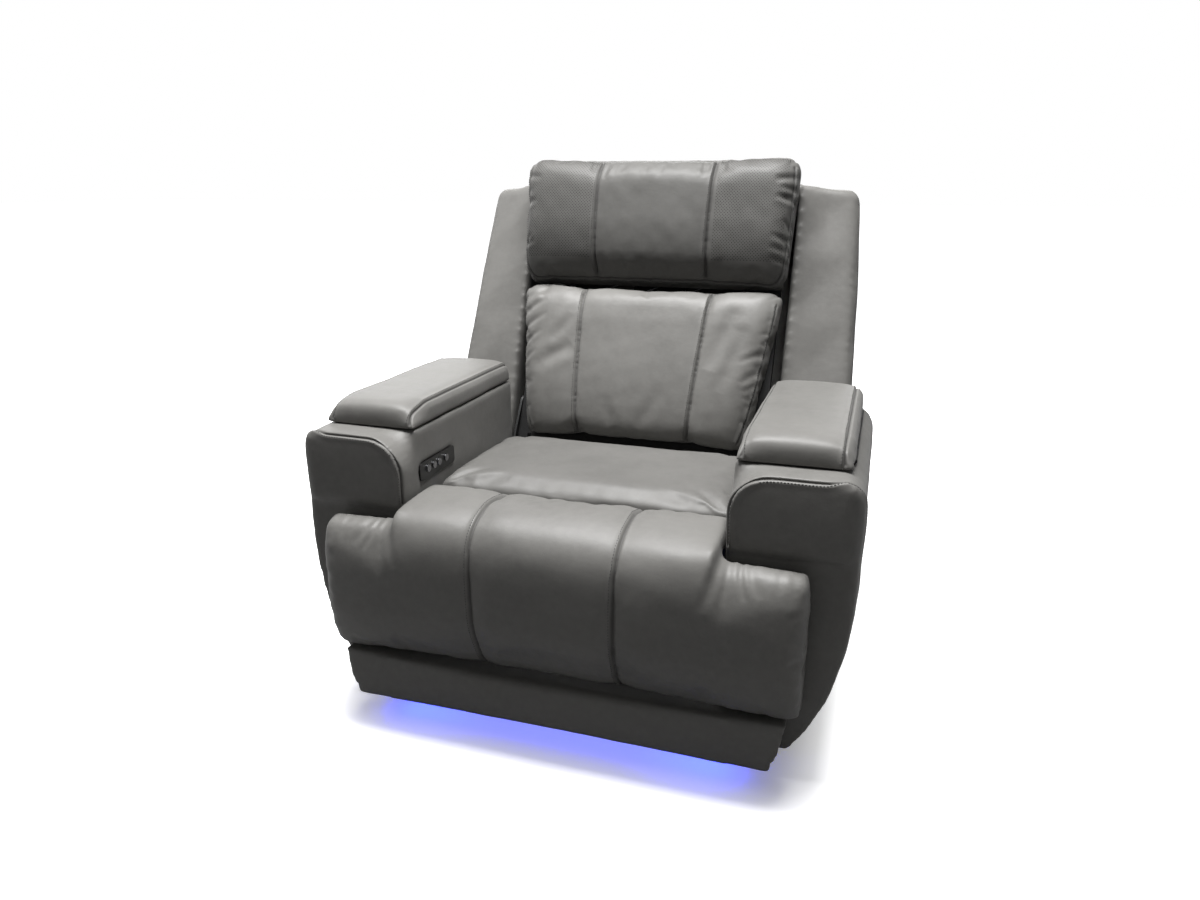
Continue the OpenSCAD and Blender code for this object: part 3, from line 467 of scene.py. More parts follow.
def glow_finish(settings):
    """Frosted light channel, brighter where its small lamps sit."""
    f = Finish("glow_strip")
    split = f.node("ShaderNodeSeparateXYZ", _0=f.coords).value.node
    beat = f.maths("SINE", Wire(f, split.outputs[0]) * 2 * math.pi / 0.0166)
    ends = f.spread(f.maths("ABSOLUTE", Wire(f, split.outputs[0])), 0.16, 0.32, 0.3, 1.0)
    level = f.spread(beat, -1.0, 1.0, 0.6, 1.0) * ends
    return f.done(
        Base_Color=(0.55, 0.6, 0.9),
        Roughness=0.4,
        Emission_Color=f.tint(level, (0.0, 0.0, 0.0), mixed(settings.glow, 1.0)),
        Emission_Strength=settings.glow_power,
    )


def hole_finish():
    """The dark inside of a punched hole: the hole is not cut, and a near-black spot paints the shade in its
    depth.
    """
    f = Finish("punched_hole")
    speck = f.noise(700.0, 2.0)
    return f.done(
        Base_Color=f.tint(speck, (0.004, 0.004, 0.004), (0.012, 0.012, 0.011)),
        Roughness=0.95,
        Specular_IOR_Level=0.1,
    )


# Making and shaping meshes.


def new_object(name, mesh):
    """An object of the scene with that mesh."""
    made = bpy.data.objects.new(name, mesh)
    bpy.context.scene.collection.objects.link(made)
    return made


def merged_copy(name, nodes):
    """One closed mesh from the CAD nodes, with their loose triangles joined."""
    bm = bmesh.new()
    for node in nodes:
        bm.from_mesh(NODES[node].data)
    bmesh.ops.remove_doubles(bm, verts=bm.verts, dist=2e-5)
    for face in bm.faces:
        face.smooth = True
    mesh = bpy.data.meshes.new(name)
    bm.to_mesh(mesh)
    bm.free()
    mesh.materials.clear()
    return new_object(name, mesh)


def baked(piece):
    """The piece with its modifiers made part of its mesh."""
    bpy.context.view_layer.update()
    graph = bpy.context.evaluated_depsgraph_get()
    graph.update()
    mesh = bpy.data.meshes.new_from_object(piece.evaluated_get(graph))
    piece.modifiers.clear()
    old = piece.data
    piece.data = mesh
    bpy.data.meshes.remove(old)
    return piece


def evened(piece, voxel, rounds):
    """The piece with an even mesh of square faces, its edges rounded by smoothing."""
    remesh = piece.modifiers.new("even", "REMESH")
    remesh.mode = "VOXEL"
    remesh.voxel_size = voxel
    if rounds:
        smooth = piece.modifiers.new("soften", "SMOOTH")
        smooth.factor = 0.5
        smooth.iterations = rounds
    return baked(piece)


def divided(piece):
    """The piece with each face split in four and smoothed."""
    finer = piece.modifiers.new("finer", "SUBSURF")
    finer.levels = finer.render_levels = 1
    return baked(piece)


def swollen(piece, pressure, cap, pins, slack):
    """The piece blown up a little by cloth pressure, each point held within the cap."""
    scene = bpy.context.scene
    before = points(piece)
    pins = np.round(pins, 2)
    group = piece.vertex_groups.new(name="held")
    for weight in np.unique(pins[pins > 0]):
        group.add(np.nonzero(pins == weight)[0].tolist(), float(weight), "REPLACE")
    cloth = piece.modifiers.new("swell", "CLOTH")
    s = cloth.settings
    s.quality = 5
    s.mass = 0.4
    s.tension_stiffness = s.compression_stiffness = 25
    s.shear_stiffness = 12
    s.bending_stiffness = 4
    s.shrink_min = -slack
    s.use_pressure = True
    s.uniform_pressure_force = pressure
    s.effector_weights.gravity = 0
    s.vertex_group_mass = "held"
    cloth.collision_settings.use_collision = False
    cloth.point_cache.frame_start = 1
    cloth.point_cache.frame_end = CLOTH_STEPS
    for step in range(1, CLOTH_STEPS + 1):
        scene.frame_set(step)
    baked(piece)
    scene.frame_set(1)
    after = points(piece)
    move = after - before
    far = np.linalg.norm(move, axis=1)
    keep = np.where(far > 1e-9, cap * np.tanh(far / cap) / np.maximum(far, 1e-9), 0)
    place(piece, before + move * keep[:, None])


def stuffed(piece, held, inset, pressure, cap, slack=0.0):
    """The cover drawn in and then swollen out again, except where it is held."""
    moved(piece, -inset * (1 - held))
    swollen(piece, pressure, cap, held, slack)


def points(piece):
    """The places of the piece's points."""
    co = np.empty(len(piece.data.vertices) * 3)
    piece.data.vertices.foreach_get("co", co)
    return co.reshape(-1, 3)


def place(piece, co):
    """Moves the piece's points to the places given."""
    piece.data.vertices.foreach_set("co", co.ravel())
    piece.data.update()


def normals(piece):
    """The outward directions at the piece's points."""
    n = np.empty(len(piece.data.vertices) * 3)
    piece.data.vertices.foreach_get("normal", n)
    return n.reshape(-1, 3)


def marked(piece, name, values):
    """Keeps a number on each point, for the leather finish to read."""
    layer = piece.data.attributes.get(name) or piece.data.attributes.new(name, "FLOAT", "POINT")
    layer.data.foreach_set("value", np.clip(values, 0, 1).astype(np.float32))


def relaxed(piece, rounds, weight=None):
    """Averages each point with its neighbours, where the weight allows."""
    co = points(piece)
    edges = np.empty(len(piece.data.edges) * 2, int)
    piece.data.edges.foreach_get("vertices", edges)
    a, b = edges[::2], edges[1::2]
    count = np.bincount(a, minlength=len(co)) + np.bincount(b, minlength=len(co))
    for _ in range(rounds):
        total = np.zeros_like(co)
        for k in range(3):
            total[:, k] = np.bincount(a, co[b, k], len(co)) + np.bincount(b, co[a, k], len(co))
        mean = total / np.maximum(count, 1)[:, None]
        share = 0.5 if weight is None else 0.5 * weight[:, None]
        co = co + (mean - co) * share
    place(piece, co)


def smooth_step(x, low, high):
    """From 0 at low to 1 at high, easing in and out."""
    t = np.clip((x - low) / (high - low), 0, 1)
    return t * t * (3 - 2 * t)


def waves(co, scale, seed):
    """Soft uneven ripples between about -1 and 1, from a fixed seed."""
    rng = np.random.default_rng(seed)
    total = np.zeros(len(co))
    for octave in range(3):
        for _ in range(5):
            way = rng.normal(size=3)
            way /= np.linalg.norm(way)
            turn = co @ way * (2 * math.pi / scale) * 2**octave + rng.uniform(0, 6.28)
            total += np.sin(turn) / 2**octave / 3
    return total / 1.6


def creases(a, b, lines):
    """Pulls and folds on a face. Each line is its two ends, half width and depth, fading at both ends."""
    total = np.zeros(len(a))
    for x0, y0, x1, y1, half, depth in lines:
        dx, dy = x1 - x0, y1 - y0
        long2 = dx * dx + dy * dy
        t = np.clip(((a - x0) * dx + (b - y0) * dy) / long2, 0, 1)
        off = np.hypot(a - x0 - t * dx, b - y0 - t * dy) / half
        fade = np.sin(math.pi * np.clip(0.12 + t * 0.88, 0, 1)) ** 0.7
        total += -depth * fade * (np.exp(-off * off) - 0.35 * np.exp(-((off - 1.9) ** 2)))
    return total


def pillowed(x, w, v, half, low, high, reach, depth, corner):
    """A cushion's face pulled back towards its edges, and its corners rounded.

    reach and depth are for the lower edge, the upper edge and the sides.
    """
    cut, upper = corner, v > (low + high) / 2
    dx = np.maximum(np.abs(x) - (half - cut), 0)
    dv = np.where(upper, np.maximum(v - (high - cut), 0), np.maximum(low + cut - v, 0))
    keep = np.where((dx > 0) & (dv > 0), np.maximum(dx, dv) / np.maximum(np.hypot(dx, dv), 1e-9), 1)
    x = np.where(dx > 0, np.sign(x) * (half - cut + dx * keep), x)
    v = np.where(dv > 0, np.where(upper, high - cut + dv * keep, low + cut - dv * keep), v)
    back = 0
    for edge, far, deep in zip((v - low, high - v, half - np.abs(x)), reach, depth):
        t = 1 - np.clip(edge / far, 0, 1)
        back = back + deep * t * t
    return x, w + back, v


def eased(co, half, edge, up, r):
    """Places whose outer corners, seen from the front, are rounded: the upper ones or the lower ones."""
    co = co.copy()
    dx = np.maximum(np.abs(co[:, 0]) - (half - r), 0)
    dz = np.maximum(up * (co[:, 2] - edge) + r, 0)
    both = (dx > 0) & (dz > 0)
    keep = np.where(both, np.maximum(dx, dz) / np.maximum(np.hypot(dx, dz), 1e-9), 1)
    co[:, 0] = np.where(both, np.sign(co[:, 0]) * (half - r + dx * keep), co[:, 0])
    co[:, 2] = np.where(both, edge - up * r + up * dz * keep, co[:, 2])
    return co


def moved(piece, offsets):
    """Moves the piece's points outwards by the offsets."""
    place(piece, points(piece) + normals(piece) * offsets[:, None])


def surface(piece):
    """The piece's skin, for finding places on it."""
    bm = bmesh.new()
    bm.from_mesh(piece.data)
    skin = BVHTree.FromBMesh(bm)
    bm.free()
    return skin


def traced(skin, rays):
    """Where rays from outside meet a skin: places and outward normals."""
    hits = []
    for start, way in rays:
        place_hit, normal, _, _ = skin.ray_cast(Vector(start), Vector(way).normalized(), 1.5)
        if place_hit is not None:
            hits.append((place_hit, normal if normal.dot(Vector(way)) < 0 else -normal))
    return np.array([h[0] for h in hits]), np.array([h[1] for h in hits])


def resampled(path, step=0.002, smooth=2):
    """A path with even short steps, its corners eased."""
    for _ in range(smooth):
        path = np.vstack([path[:1], (path[:-2] + 2 * path[1:-1] + path[2:]) / 4, path[-1:]])
    gaps = np.linalg.norm(np.diff(path, axis=0), axis=1)
    along = np.concatenate([[0], np.cumsum(gaps)])
    count = max(2, int(along[-1] / step) + 1)
    at = np.linspace(0, along[-1], count)
    return np.stack([np.interp(at, along, path[:, k]) for k in range(3)], 1)


def laid(skin, path):
    """The path drawn onto a skin, with the skin's normals."""
    found = [skin.find_nearest(Vector(q)) for q in path]
    return np.array([f[0] for f in found]), np.array([f[1] for f in found])


def side_ways(path, normal):
    """The direction across a path, in the skin."""
    tangent = np.gradient(path, axis=0)
    across = np.cross(tangent, normal)
    return across / np.maximum(np.linalg.norm(across, axis=1), 1e-9)[:, None]


def nearness(piece, path, reach):
    """Each point's distance from a path, and the path's nearest point, within reach of the path."""
    tree = KDTree(len(path))
    for i, q in enumerate(path):
        tree.insert(Vector(q), i)
    tree.balance()
    co = points(piece)
    distance, index = np.full(len(co), 1.0), np.zeros(len(co), int)
    low, high = path.min(axis=0) - reach, path.max(axis=0) + reach
    inside = np.nonzero(((co > low) & (co < high)).all(axis=1))[0]
    for k in range(0, len(path), 40):
        part = path[k : k + 40]
        low, high = part.min(axis=0) - reach, part.max(axis=0) + reach
        free = (co[inside] > low) & (co[inside] < high) & (distance[inside, None] > 0.99)
        for i in inside[free.all(axis=1)]:
            _, index[i], distance[i] = tree.find(co[i])
    return distance, index


def refined(piece, paths, reach=0.012):
    """Finer faces along the paths."""
    near = np.zeros(len(piece.data.vertices), bool)
    for path in paths:
        near |= nearness(piece, path, reach)[0] < reach
    bm = bmesh.new()
    bm.from_mesh(piece.data)
    bm.verts.ensure_lookup_table()
    edges = [e for e in bm.edges if near[e.verts[0].index] and near[e.verts[1].index]]
    bmesh.ops.subdivide_edges(bm, edges=edges, cuts=1, use_grid_fill=True)
    bm.to_mesh(piece.data)
    bm.free()


def sewn(piece, path, half=0.0032, depth=0.0045, lap=0.0016, side=-1, fade=0.0):
    """Presses a lapped seam into the piece: a narrow valley with a raised lap beside it."""
    skin = surface(piece)
    path, normal = laid(skin, path)
    across = side_ways(path, normal)
    distance, index = nearness(piece, path, 0.045)
    co = points(piece)
    offset = np.einsum("ij,ij->i", co - path[index], across[index])
    level = np.einsum("ij,ij->i", co - path[index], normal[index])
    facing = np.einsum("ij,ij->i", normals(piece), normal[index]) > 0.1
    beyond = np.sqrt(np.maximum(distance**2 - offset**2 - level**2, 0))
    ends = np.exp(-((beyond / 0.006) ** 2)) * facing
    valley = np.exp(-((offset / half) ** 2)) * ends
    lip = np.exp(-(((offset - side * 0.0065) / 0.0045) ** 2)) * ends
    pull = np.exp(-((offset / 0.022) ** 2)) * ends
    moved(piece, -depth * valley + lap * lip - fade * pull)
    # Marks the valley, which the leather finish darkens as painted shade.
    kept = np.zeros(len(co), np.float32)
    if "seam" in piece.data.attributes:
        piece.data.attributes["seam"].data.foreach_get("value", kept)
    kept = kept.astype(float)
    marked(piece, "seam", np.maximum(kept, np.exp(-((offset / (half * 0.8)) ** 2)) * ends))


def beside(piece, path, offset):
    """The path moved sideways over the piece's skin, and the skin's normals there."""
    skin = surface(piece)
    base, normal = laid(skin, path)
    place_new, normal = laid(skin, base + side_ways(base, normal) * offset)
    return place_new + normal * THREAD_LIFT, normal


def both_sewn(piece, paths, rims, lap):
    """Sews a cushion's seams down its front, then the left and the right seam of its rim."""
    for path in paths:
        sewn(piece, path, fade=0.002)
    for path, sign in zip(rims, (-1, 1)):
        sewn(piece, path, half=0.0026, depth=0.0030, lap=lap, side=-sign)


def rows_beside(piece, paths, rims):
    """The rows of stitches beside a cushion's seams."""
    rows = [beside(piece, path, -BESIDE_SEAM) for path in paths]
    return rows + [beside(piece, path, -sign * BESIDE_RIM) for path, sign in zip(rims, (-1, 1))]


def dressed(piece, finish, body, nodes=()):
    """The piece's finish, its smooth faces, and what it rides on and stands for."""
    piece.data.materials.clear()
    piece.data.materials.append(finish)
    piece.data.polygons.foreach_set("use_smooth", np.ones(len(piece.data.polygons), bool))
    for name in ("seam", "painted_highlight"):
        if name not in piece.data.attributes:
            marked(piece, name, np.zeros(len(piece.data.vertices)))
    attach(piece, body)
    if nodes:
        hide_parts(*nodes)
    return piece


class Recipe:
    """A Geometry Nodes tree with named inputs, which ends in real faces with a finish."""

    def __init__(self, name, inputs):
        self.tree = bpy.data.node_groups.new(name, "GeometryNodeTree")
        self.tree.is_modifier = True
        face = self.tree.interface
        face.new_socket("Geometry", in_out="INPUT", socket_type="NodeSocketGeometry")
        self.keys = {}
        for label, kind, value in inputs:
            item = face.new_socket(label, in_out="INPUT", socket_type=kind)
            if value is not None:
                item.default_value = value
            self.keys[label] = item.identifier
        face.new_socket("Geometry", in_out="OUTPUT", socket_type="NodeSocketGeometry")
        self.given = self.tree.nodes.new("NodeGroupInput").outputs
        self.result = self.tree.nodes.new("NodeGroupOutput").inputs[0]

    def node(self, kind, settings=None, out=0, **sockets):
        made = self.tree.nodes.new(kind)
        for key, value in (settings or {}).items():
            setattr(made, key, value)
        for key, value in sockets.items():
            socket = made.inputs[int(key[1:]) if key[0] == "_" else key.replace("_", " ")]
            if isinstance(value, bpy.types.NodeSocket):
                self.tree.links.new(value, socket)
            else:
                socket.default_value = value
        return made.outputs[out]

    def ends(self, geometry):
        real = self.node("GeometryNodeRealizeInstances", _0=geometry)
        painted = self.node("GeometryNodeSetMaterial", Geometry=real, Material=self.given["Finish"])
        self.tree.links.new(painted, self.result)
        return self

    def applied(self, guide, **values):
        """The guide turned into what the tree makes of it."""
        work = guide.modifiers.new("recipe", "NODES")
        work.node_group = self.tree
        for label, value in values.items():
            work[self.keys[label.replace("_", " ")]] = value
        return baked(guide)


def upright(recipe):
    """A turn that lays a shape along the guide with its top outwards."""
    lay = recipe.node("GeometryNodeInputNamedAttribute", {"data_type": "FLOAT_VECTOR"}, Name="lay")
    along = recipe.node(
        "FunctionNodeAlignRotationToVector", {"axis": "X"}, Vector=recipe.node("GeometryNodeInputTangent")
    )
    turned = {"axis": "Z", "pivot_axis": "X"}
    return recipe.node("FunctionNodeAlignRotationToVector", turned, Rotation=along, Vector=lay)


def stitch_recipe():
    """Short threads laid end to end along a guide."""
    r = Recipe(
        "stitches",
        (
            ("Pitch", "NodeSocketFloat", 0.006),
            ("Length", "NodeSocketFloat", 0.004),
            ("Radius", "NodeSocketFloat", 0.0006),
            ("Finish", "NodeSocketMaterial", None),
        ),
    )
    line = r.node("GeometryNodeMeshToCurve", _0=r.given["Geometry"])
    even = r.node("GeometryNodeResampleCurve", {"mode": "LENGTH"}, Curve=line, Length=r.given["Pitch"])
    ball = r.node("GeometryNodeMeshIcoSphere", Radius=1.0, Subdivisions=1)
    half = r.node("ShaderNodeMath", {"operation": "MULTIPLY"}, _0=r.given["Length"], _1=0.5)
    size = r.node("ShaderNodeCombineXYZ", X=half, Y=r.given["Radius"], Z=r.given["Radius"])
    thread = r.node("GeometryNodeTransform", Geometry=ball, Scale=size)
    rows = r.node("GeometryNodeInstanceOnPoints", Points=even, Instance=thread, Rotation=upright(r))
    return r.ends(r.node("GeometryNodeSetShadeSmooth", Geometry=rows))


def hole_recipe():
    """Small round spots on the points of a guide, flat to the skin."""
    r = Recipe(
        "perforations",
        (
            ("Radius", "NodeSocketFloat", 0.001),
            ("Finish", "NodeSocketMaterial", None),
        ),
    )
    spot = r.node("GeometryNodeMeshCircle", {"fill_type": "NGON"}, Vertices=6, Radius=r.given["Radius"])
    lay = r.node("GeometryNodeInputNamedAttribute", {"data_type": "FLOAT_VECTOR"}, Name="lay")
    turn = r.node("FunctionNodeAlignRotationToVector", {"axis": "Z"}, Vector=lay)
    spots = r.node("GeometryNodeInstanceOnPoints", Points=r.given["Geometry"], Instance=spot, Rotation=turn)
    return r.ends(spots)


RECIPES = {}


def recipe_named(name):
    """The recipe of that name, made when it is first asked for."""
    makers = {"stitches": stitch_recipe, "perforations": hole_recipe}
    if name not in RECIPES:
        RECIPES[name] = makers[name]()
    return RECIPES[name]


def guide_mesh(name, rows, joined=True):
    """A guide of lines or points, which keeps the skin's normals."""
    places, lays, edges = [], [], []
    for path, normal in rows:
        start = len(places)
        places.extend(path.tolist())
        lays.extend(normal.tolist())
        if joined:
            edges.extend((i, i + 1) for i in range(start, len(places) - 1))
    mesh = bpy.data.meshes.new(name)
    mesh.from_pydata(places, edges, [])
    layer = mesh.attributes.new("lay", "FLOAT_VECTOR", "POINT")
    layer.data.foreach_set("vector", np.array(lays, np.float32).ravel())
    return new_object(name, mesh)


def stitched(name, rows, body):
    """Rows of stitches that ride on a body."""
    s = bpy.context.scene.seat_sewing
    piece = recipe_named("stitches").applied(
        guide_mesh(name, rows),
        Pitch=s.pitch,
        Length=s.pitch * 0.74,
        Radius=s.thread_r,
        Finish=finish_named("thread"),
    )
    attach(piece, body)
    return piece


# Shine and painted shade share of each hide, below 1 where a darker copy paints shade on the seat and the
# headrest; tone, metal, roughness and rubbed share of each steel; tone, roughness and coat of each plastic.
HIDES = {"leather": (1.0, 1.0), "seat_leather": (1.0, 0.80), "headrest_shaded_leather": (1.08, 0.63)}
STEELS = {
    "black_steel": ((0.010, 0.010, 0.010), 0.0, 0.55, 0.4),
    "spring_wire": ((0.34, 0.34, 0.36), 1.0, 0.38, 0.3),
    "chrome": ((0.24, 0.24, 0.25), 1.0, 0.24, 0.2),
}
PLASTICS = {
    "matt_plastic": ((0.020, 0.020, 0.021), 0.5, 0.0),
    "gloss_panel": ((0.003, 0.003, 0.003), 0.30, 0.15),
}
OTHERS = {"hole": hole_finish, "lining": lining_finish, "stained_plywood": plywood_finish}
FINISHES = {}


def finish_named(name):
    """The finish of that name, made when it is first asked for."""
    s = bpy.context.scene
    if name in FINISHES:
        return FINISHES[name]
    if name in HIDES:
        made = leather_finish(name, s.seat_leather, *HIDES[name])
    elif name in STEELS:
        made = steel_finish(name, *STEELS[name])
    elif name in PLASTICS:
        made = plastic_finish(name, *PLASTICS[name])
    elif name in OTHERS:
        made = OTHERS[name]()
    else:
        made = thread_finish(s.seat_leather) if name == "thread" else glow_finish(s.seat_light)
    FINISHES[name] = made
    return made


# The stage.


class SEAT_OT_stage(bpy.types.Operator):
    """Build the pale floor, the studio lights and the camera"""

    bl_idname = "seat.stage"
    bl_label = "Stage"

    def execute(self, context):
        scene = context.scene
        scene.view_settings.view_transform = "Standard"
        self.camera(scene)
        self.floor()
        self.lights(scene)
        return {"FINISHED"}

    def camera(self, scene):
        data = bpy.data.cameras.new("photo_camera")
        data.lens = LENS
        data.sensor_width = SENSOR
        data.clip_end = 50
        cam = bpy.data.objects.new("photo_camera", data)
        scene.collection.objects.link(cam)
        a, e = math.radians(CAMERA_TURN), math.radians(CAMERA_DROP)
        back = Vector((math.sin(a) * math.cos(e), -math.cos(a) * math.cos(e), math.sin(e)))
        cam.location = CAMERA_AT
        cam.rotation_euler = (-back).to_track_quat("-Z", "Y").to_euler()
        scene.camera = cam

    def floor(self):
        f = Finish("studio_floor")
        path = f.node("ShaderNodeLightPath").value.node
        rays = ("Is Camera Ray", "Is Transmission Ray", "Is Glossy Ray")
        camera, clear, glossy = (Wire(f, path.outputs[name]) for name in rays)
        seen = f.maths("MAXIMUM", f.maths("MAXIMUM", camera, clear), glossy * GLOSSY_SHARE)
        mottle = f.noise(2.0, 2.0)
        pale = f.tint(mottle, (0.88, 0.88, 0.88), (0.92, 0.92, 0.92))
        matt = f.node("ShaderNodeBsdfDiffuse", Color=f.tint(seen, (0.10, 0.10, 0.10), pale), Roughness=0.4)
        split = f.node("ShaderNodeSeparateXYZ", _0=f.coords).value.node
        # Beyond a box of 0.80 by 0.82 m under the seat, the floor grows brighter.
        x = f.maths("MAXIMUM", f.maths("ABSOLUTE", Wire(f, split.outputs[0])) - 0.40)
        y = f.maths("MAXIMUM", f.maths("ABSOLUTE", Wire(f, split.outputs[1]) + 0.02) - 0.41)
        away = f.maths("SQRT", x * x + y * y)
        far = f.node(
            "ShaderNodeMapRange",
            {"interpolation_type": "SMOOTHSTEP"},
            Value=away,
            From_Min=0.0,
            From_Max=0.24,
            To_Min=0.20,
            To_Max=1.1,
        )
        lit = f.node("ShaderNodeEmission", Color=(1, 1, 1), Strength=seen * far)
        both = f.node("ShaderNodeAddShader", _0=matt, _1=lit)
        output = f.tree.nodes.new("ShaderNodeOutputMaterial")
        f.tree.links.new(both.value, output.inputs["Surface"])
        bm = bmesh.new()
        bmesh.ops.create_grid(bm, x_segments=8, y_segments=8, size=40)
        mesh = bpy.data.meshes.new("floor")
        bm.to_mesh(mesh)
        bm.free()
        ground = new_object("floor", mesh)
        mesh.materials.append(f.material)

    def lights(self, scene):
        world = bpy.data.worlds.new("studio")
        scene.world = world
        world.use_nodes = True
        tree = world.node_tree
        tree.nodes.clear()
        path = tree.nodes.new("ShaderNodeLightPath")
        most = tree.nodes.new("ShaderNodeMath")
        most.operation = "MAXIMUM"
        tree.links.new(path.outputs["Is Camera Ray"], most.inputs[0])
        tree.links.new(path.outputs["Is Transmission Ray"], most.inputs[1])
        room = tree.nodes.new("ShaderNodeMapRange")
        tree.links.new(most.outputs[0], room.inputs["Value"])
        room.inputs["To Min"].default_value = ROOM_SHARE
        room.inputs["To Max"].default_value = 1.0
        sky = tree.nodes.new("ShaderNodeBackground")
        sky.inputs["Color"].default_value = (1, 1, 1, 1)
        tree.links.new(room.outputs[0], sky.inputs["Strength"])
        out = tree.nodes.new("ShaderNodeOutputWorld")
        tree.links.new(sky.outputs[0], out.inputs["Surface"])
        for name, wide, deep, at, aim, power in (
            ("overhead_softbox", 2.2, 1.0, (-0.1, -0.20, 3.6), (-0.1, -0.12, 0.4), 270),
            ("rear_softbox", 4.5, 1.6, (-1.0, 3.0, 1.9), (0, 0, 0.6), 60),
            ("left_softbox", 1.4, 1.4, (-2.6, 0.2, 2.4), (0, 0, 0.6), 18),
        ):
            data = bpy.data.lights.new(name, "AREA")
            data.shape = "RECTANGLE"
            data.size, data.size_y = wide, deep
            data.energy = power
            lamp = bpy.data.objects.new(name, data)
            scene.collection.objects.link(lamp)
            lamp.location = at
            lamp.visible_camera = False
            lamp.rotation_euler = (Vector(aim) - Vector(at)).to_track_quat("-Z", "Y").to_euler()


# Upholstered pieces.


class SEAT_OT_arms(bpy.types.Operator):
    """Upholster the two arms, with lapped seams round their front panels"""

    bl_idname = "seat.arms"
    bl_label = "Arms"

    def execute(self, context):
        for side, sign in (("left", -1), ("right", 1)):
            piece = evened(merged_copy(side + "_arm_leather", [side + "_arm"]), 0.0078, 2)
            place(piece, self.rounded(points(piece)))
            divided(piece)
            path = self.seam(piece, sign)
            refined(piece, [path])
            co = points(piece)
            moved(piece, self.soft(co, sign))
            co = points(piece)
            co[:, 0] -= sign * 0.004 * smooth_step(np.abs(co[:, 0]), 0.50, 0.54)
            place(piece, co)
            sewn(piece, path, half=0.0030, depth=0.0052, lap=0.0022, side=sign, fade=0.0012)
            dressed(piece, finish_named("leather"), "base", [side + "_arm"])
            stitched(side + "_arm_stitches", [beside(piece, path, sign * BESIDE_LAP)], "base")
        return {"FINISHED"}

    def rounded(self, co):
        """The pod's upper inner edge, rounder towards its front."""
        (x, z), r = POD_CORNER, POD_CORNER_R
        dx, dz = x - np.abs(co[:, 0]), co[:, 2] - z
        far = np.hypot(dx, dz)
        share = smooth_step(-co[:, 1], 0.355, 0.40) * (dx > 0) * (dz > 0) * (far > r)
        pull = share * (1 - r / np.maximum(far, r))
        return co + np.stack((np.sign(co[:, 0]) * dx * pull, 0 * pull, -dz * pull), 1)

    def soft(self, co, sign):
        """Padding that swells a little over the pod, and stays thin inside the well."""
        x = np.abs(co[:, 0])
        well = (x > 0.335) & (x < 0.497) & (co[:, 1] > -0.346) & (co[:, 1] < 0.092) & (co[:, 2] > 0.47)
        front = smooth_step(-co[:, 1], 0.34, 0.43)
        bulge = 0.0025 * front * np.sin(np.clip((co[:, 2] - 0.456) / 0.14, 0, 1) * math.pi)
        return np.where(well, 0, 0.0011 * waves(co, 0.19, 5 + sign) + bulge)

    def seam(self, piece, sign):
        """Up the pod's inner edge, round its top, and down the arm's outer side behind the front panel."""
        (mid_x, mid_z), r, ahead = POD_CORNER, POD_CORNER_R, -0.4275 - 0.089
        outline = [((0.316, z), (-1, 0)) for z in np.arange(0.462, mid_z, 0.005)]
        outline += [((mid_x + r * c, mid_z + r * d), (c, d)) for c, d in turns(180, 89, -6)]
        outline += [((x, 0.595), (0, 1)) for x in np.arange(0.40, 0.496, 0.006)]
        rays = []
        for (x, z), (nx, nz) in outline:
            rays.append(((sign * (x + nx * 0.1), ahead, z + nz * 0.1), (-sign * nx, 0.9, -nz)))
        for t in np.linspace(0.1, 0.95, 8):
            aim_at = np.array((0.488 + 0.012 * t, -0.395 + 0.012 * t, 0.565 - 0.02 * t))
            out = np.array((0.25 + 0.75 * t, -0.75 * (1 - t) - 0.05, 0.9 * (1 - t) + 0.25))
            start = (aim_at + out * 0.3) * (sign, 1, 1)
            rays.append((start, -out * (sign, 1, 1)))
        for z in np.arange(0.548, 0.075, -0.008):
            rays.append(((sign * 0.8, -0.383 + 0.03 * (0.55 - z) * (z > 0.3), z), (-sign, 0, 0)))
        return resampled(traced(surface(piece), rays)[0], smooth=4)


class SEAT_OT_lids(bpy.types.Operator):
    """Pad and sew the two lids over the armrest bins"""

    bl_idname = "seat.lids"
    bl_label = "Lids"

    def execute(self, context):
        for side, sign in (("left", -1), ("right", 1)):
            piece = evened(merged_copy(side + "_lid_leather", [side + "_lid_pad"]), 0.005, 2)
            co = points(piece)
            crown = smooth_step(co[:, 2], 0.62, 0.645) * (1 - ((np.abs(co[:, 0]) - LID_MID) / LID_HALF) ** 2)
            moved(piece, 0.004 * np.maximum(crown, 0))
            co = points(piece)
            nose = smooth_step(-co[:, 1], 0.29, 0.33) * smooth_step(co[:, 2], 0.605, 0.625)
            relaxed(piece, 90, nose)
            divided(piece)
            paths = [self.seam(piece, sign, x) for x in LID_SEAMS]
            refined(piece, paths)
            moved(piece, 0.0008 * waves(points(piece), 0.15, 21 + sign))
            for path, lap in zip(paths, (1, -1)):
                sewn(piece, path, half=0.0026, depth=0.0034, lap=0.0014, side=sign * lap, fade=0.001)
            dressed(piece, finish_named("leather"), side + "_lid", [side + "_lid_pad"])
            rows = [beside(piece, p, sign * lap * BESIDE_SEAM) for p, lap in zip(paths, (1, -1))]
            stitched(side + "_lid_stitches", rows, side + "_lid")
        return {"FINISHED"}

    def seam(self, piece, sign, x):
        """Up the lid's nose and back along its top."""
        nose, tail, z = -0.335, 0.085, 0.618
        rays = [((sign * x, nose - 0.3 * c, z + 0.3 * d), (0, c, -d)) for c, d in turns(-18, 91, 6)]
        rays += [((sign * x, y, 0.9), (0, 0, -1)) for y in np.arange(-0.33, 0.09, 0.008)]
        rays += [((sign * x, tail - 0.3 * c, z + 0.3 * d), (0, c, -d)) for c, d in turns(90, 199, 6)]
        return resampled(traced(surface(piece), rays)[0])


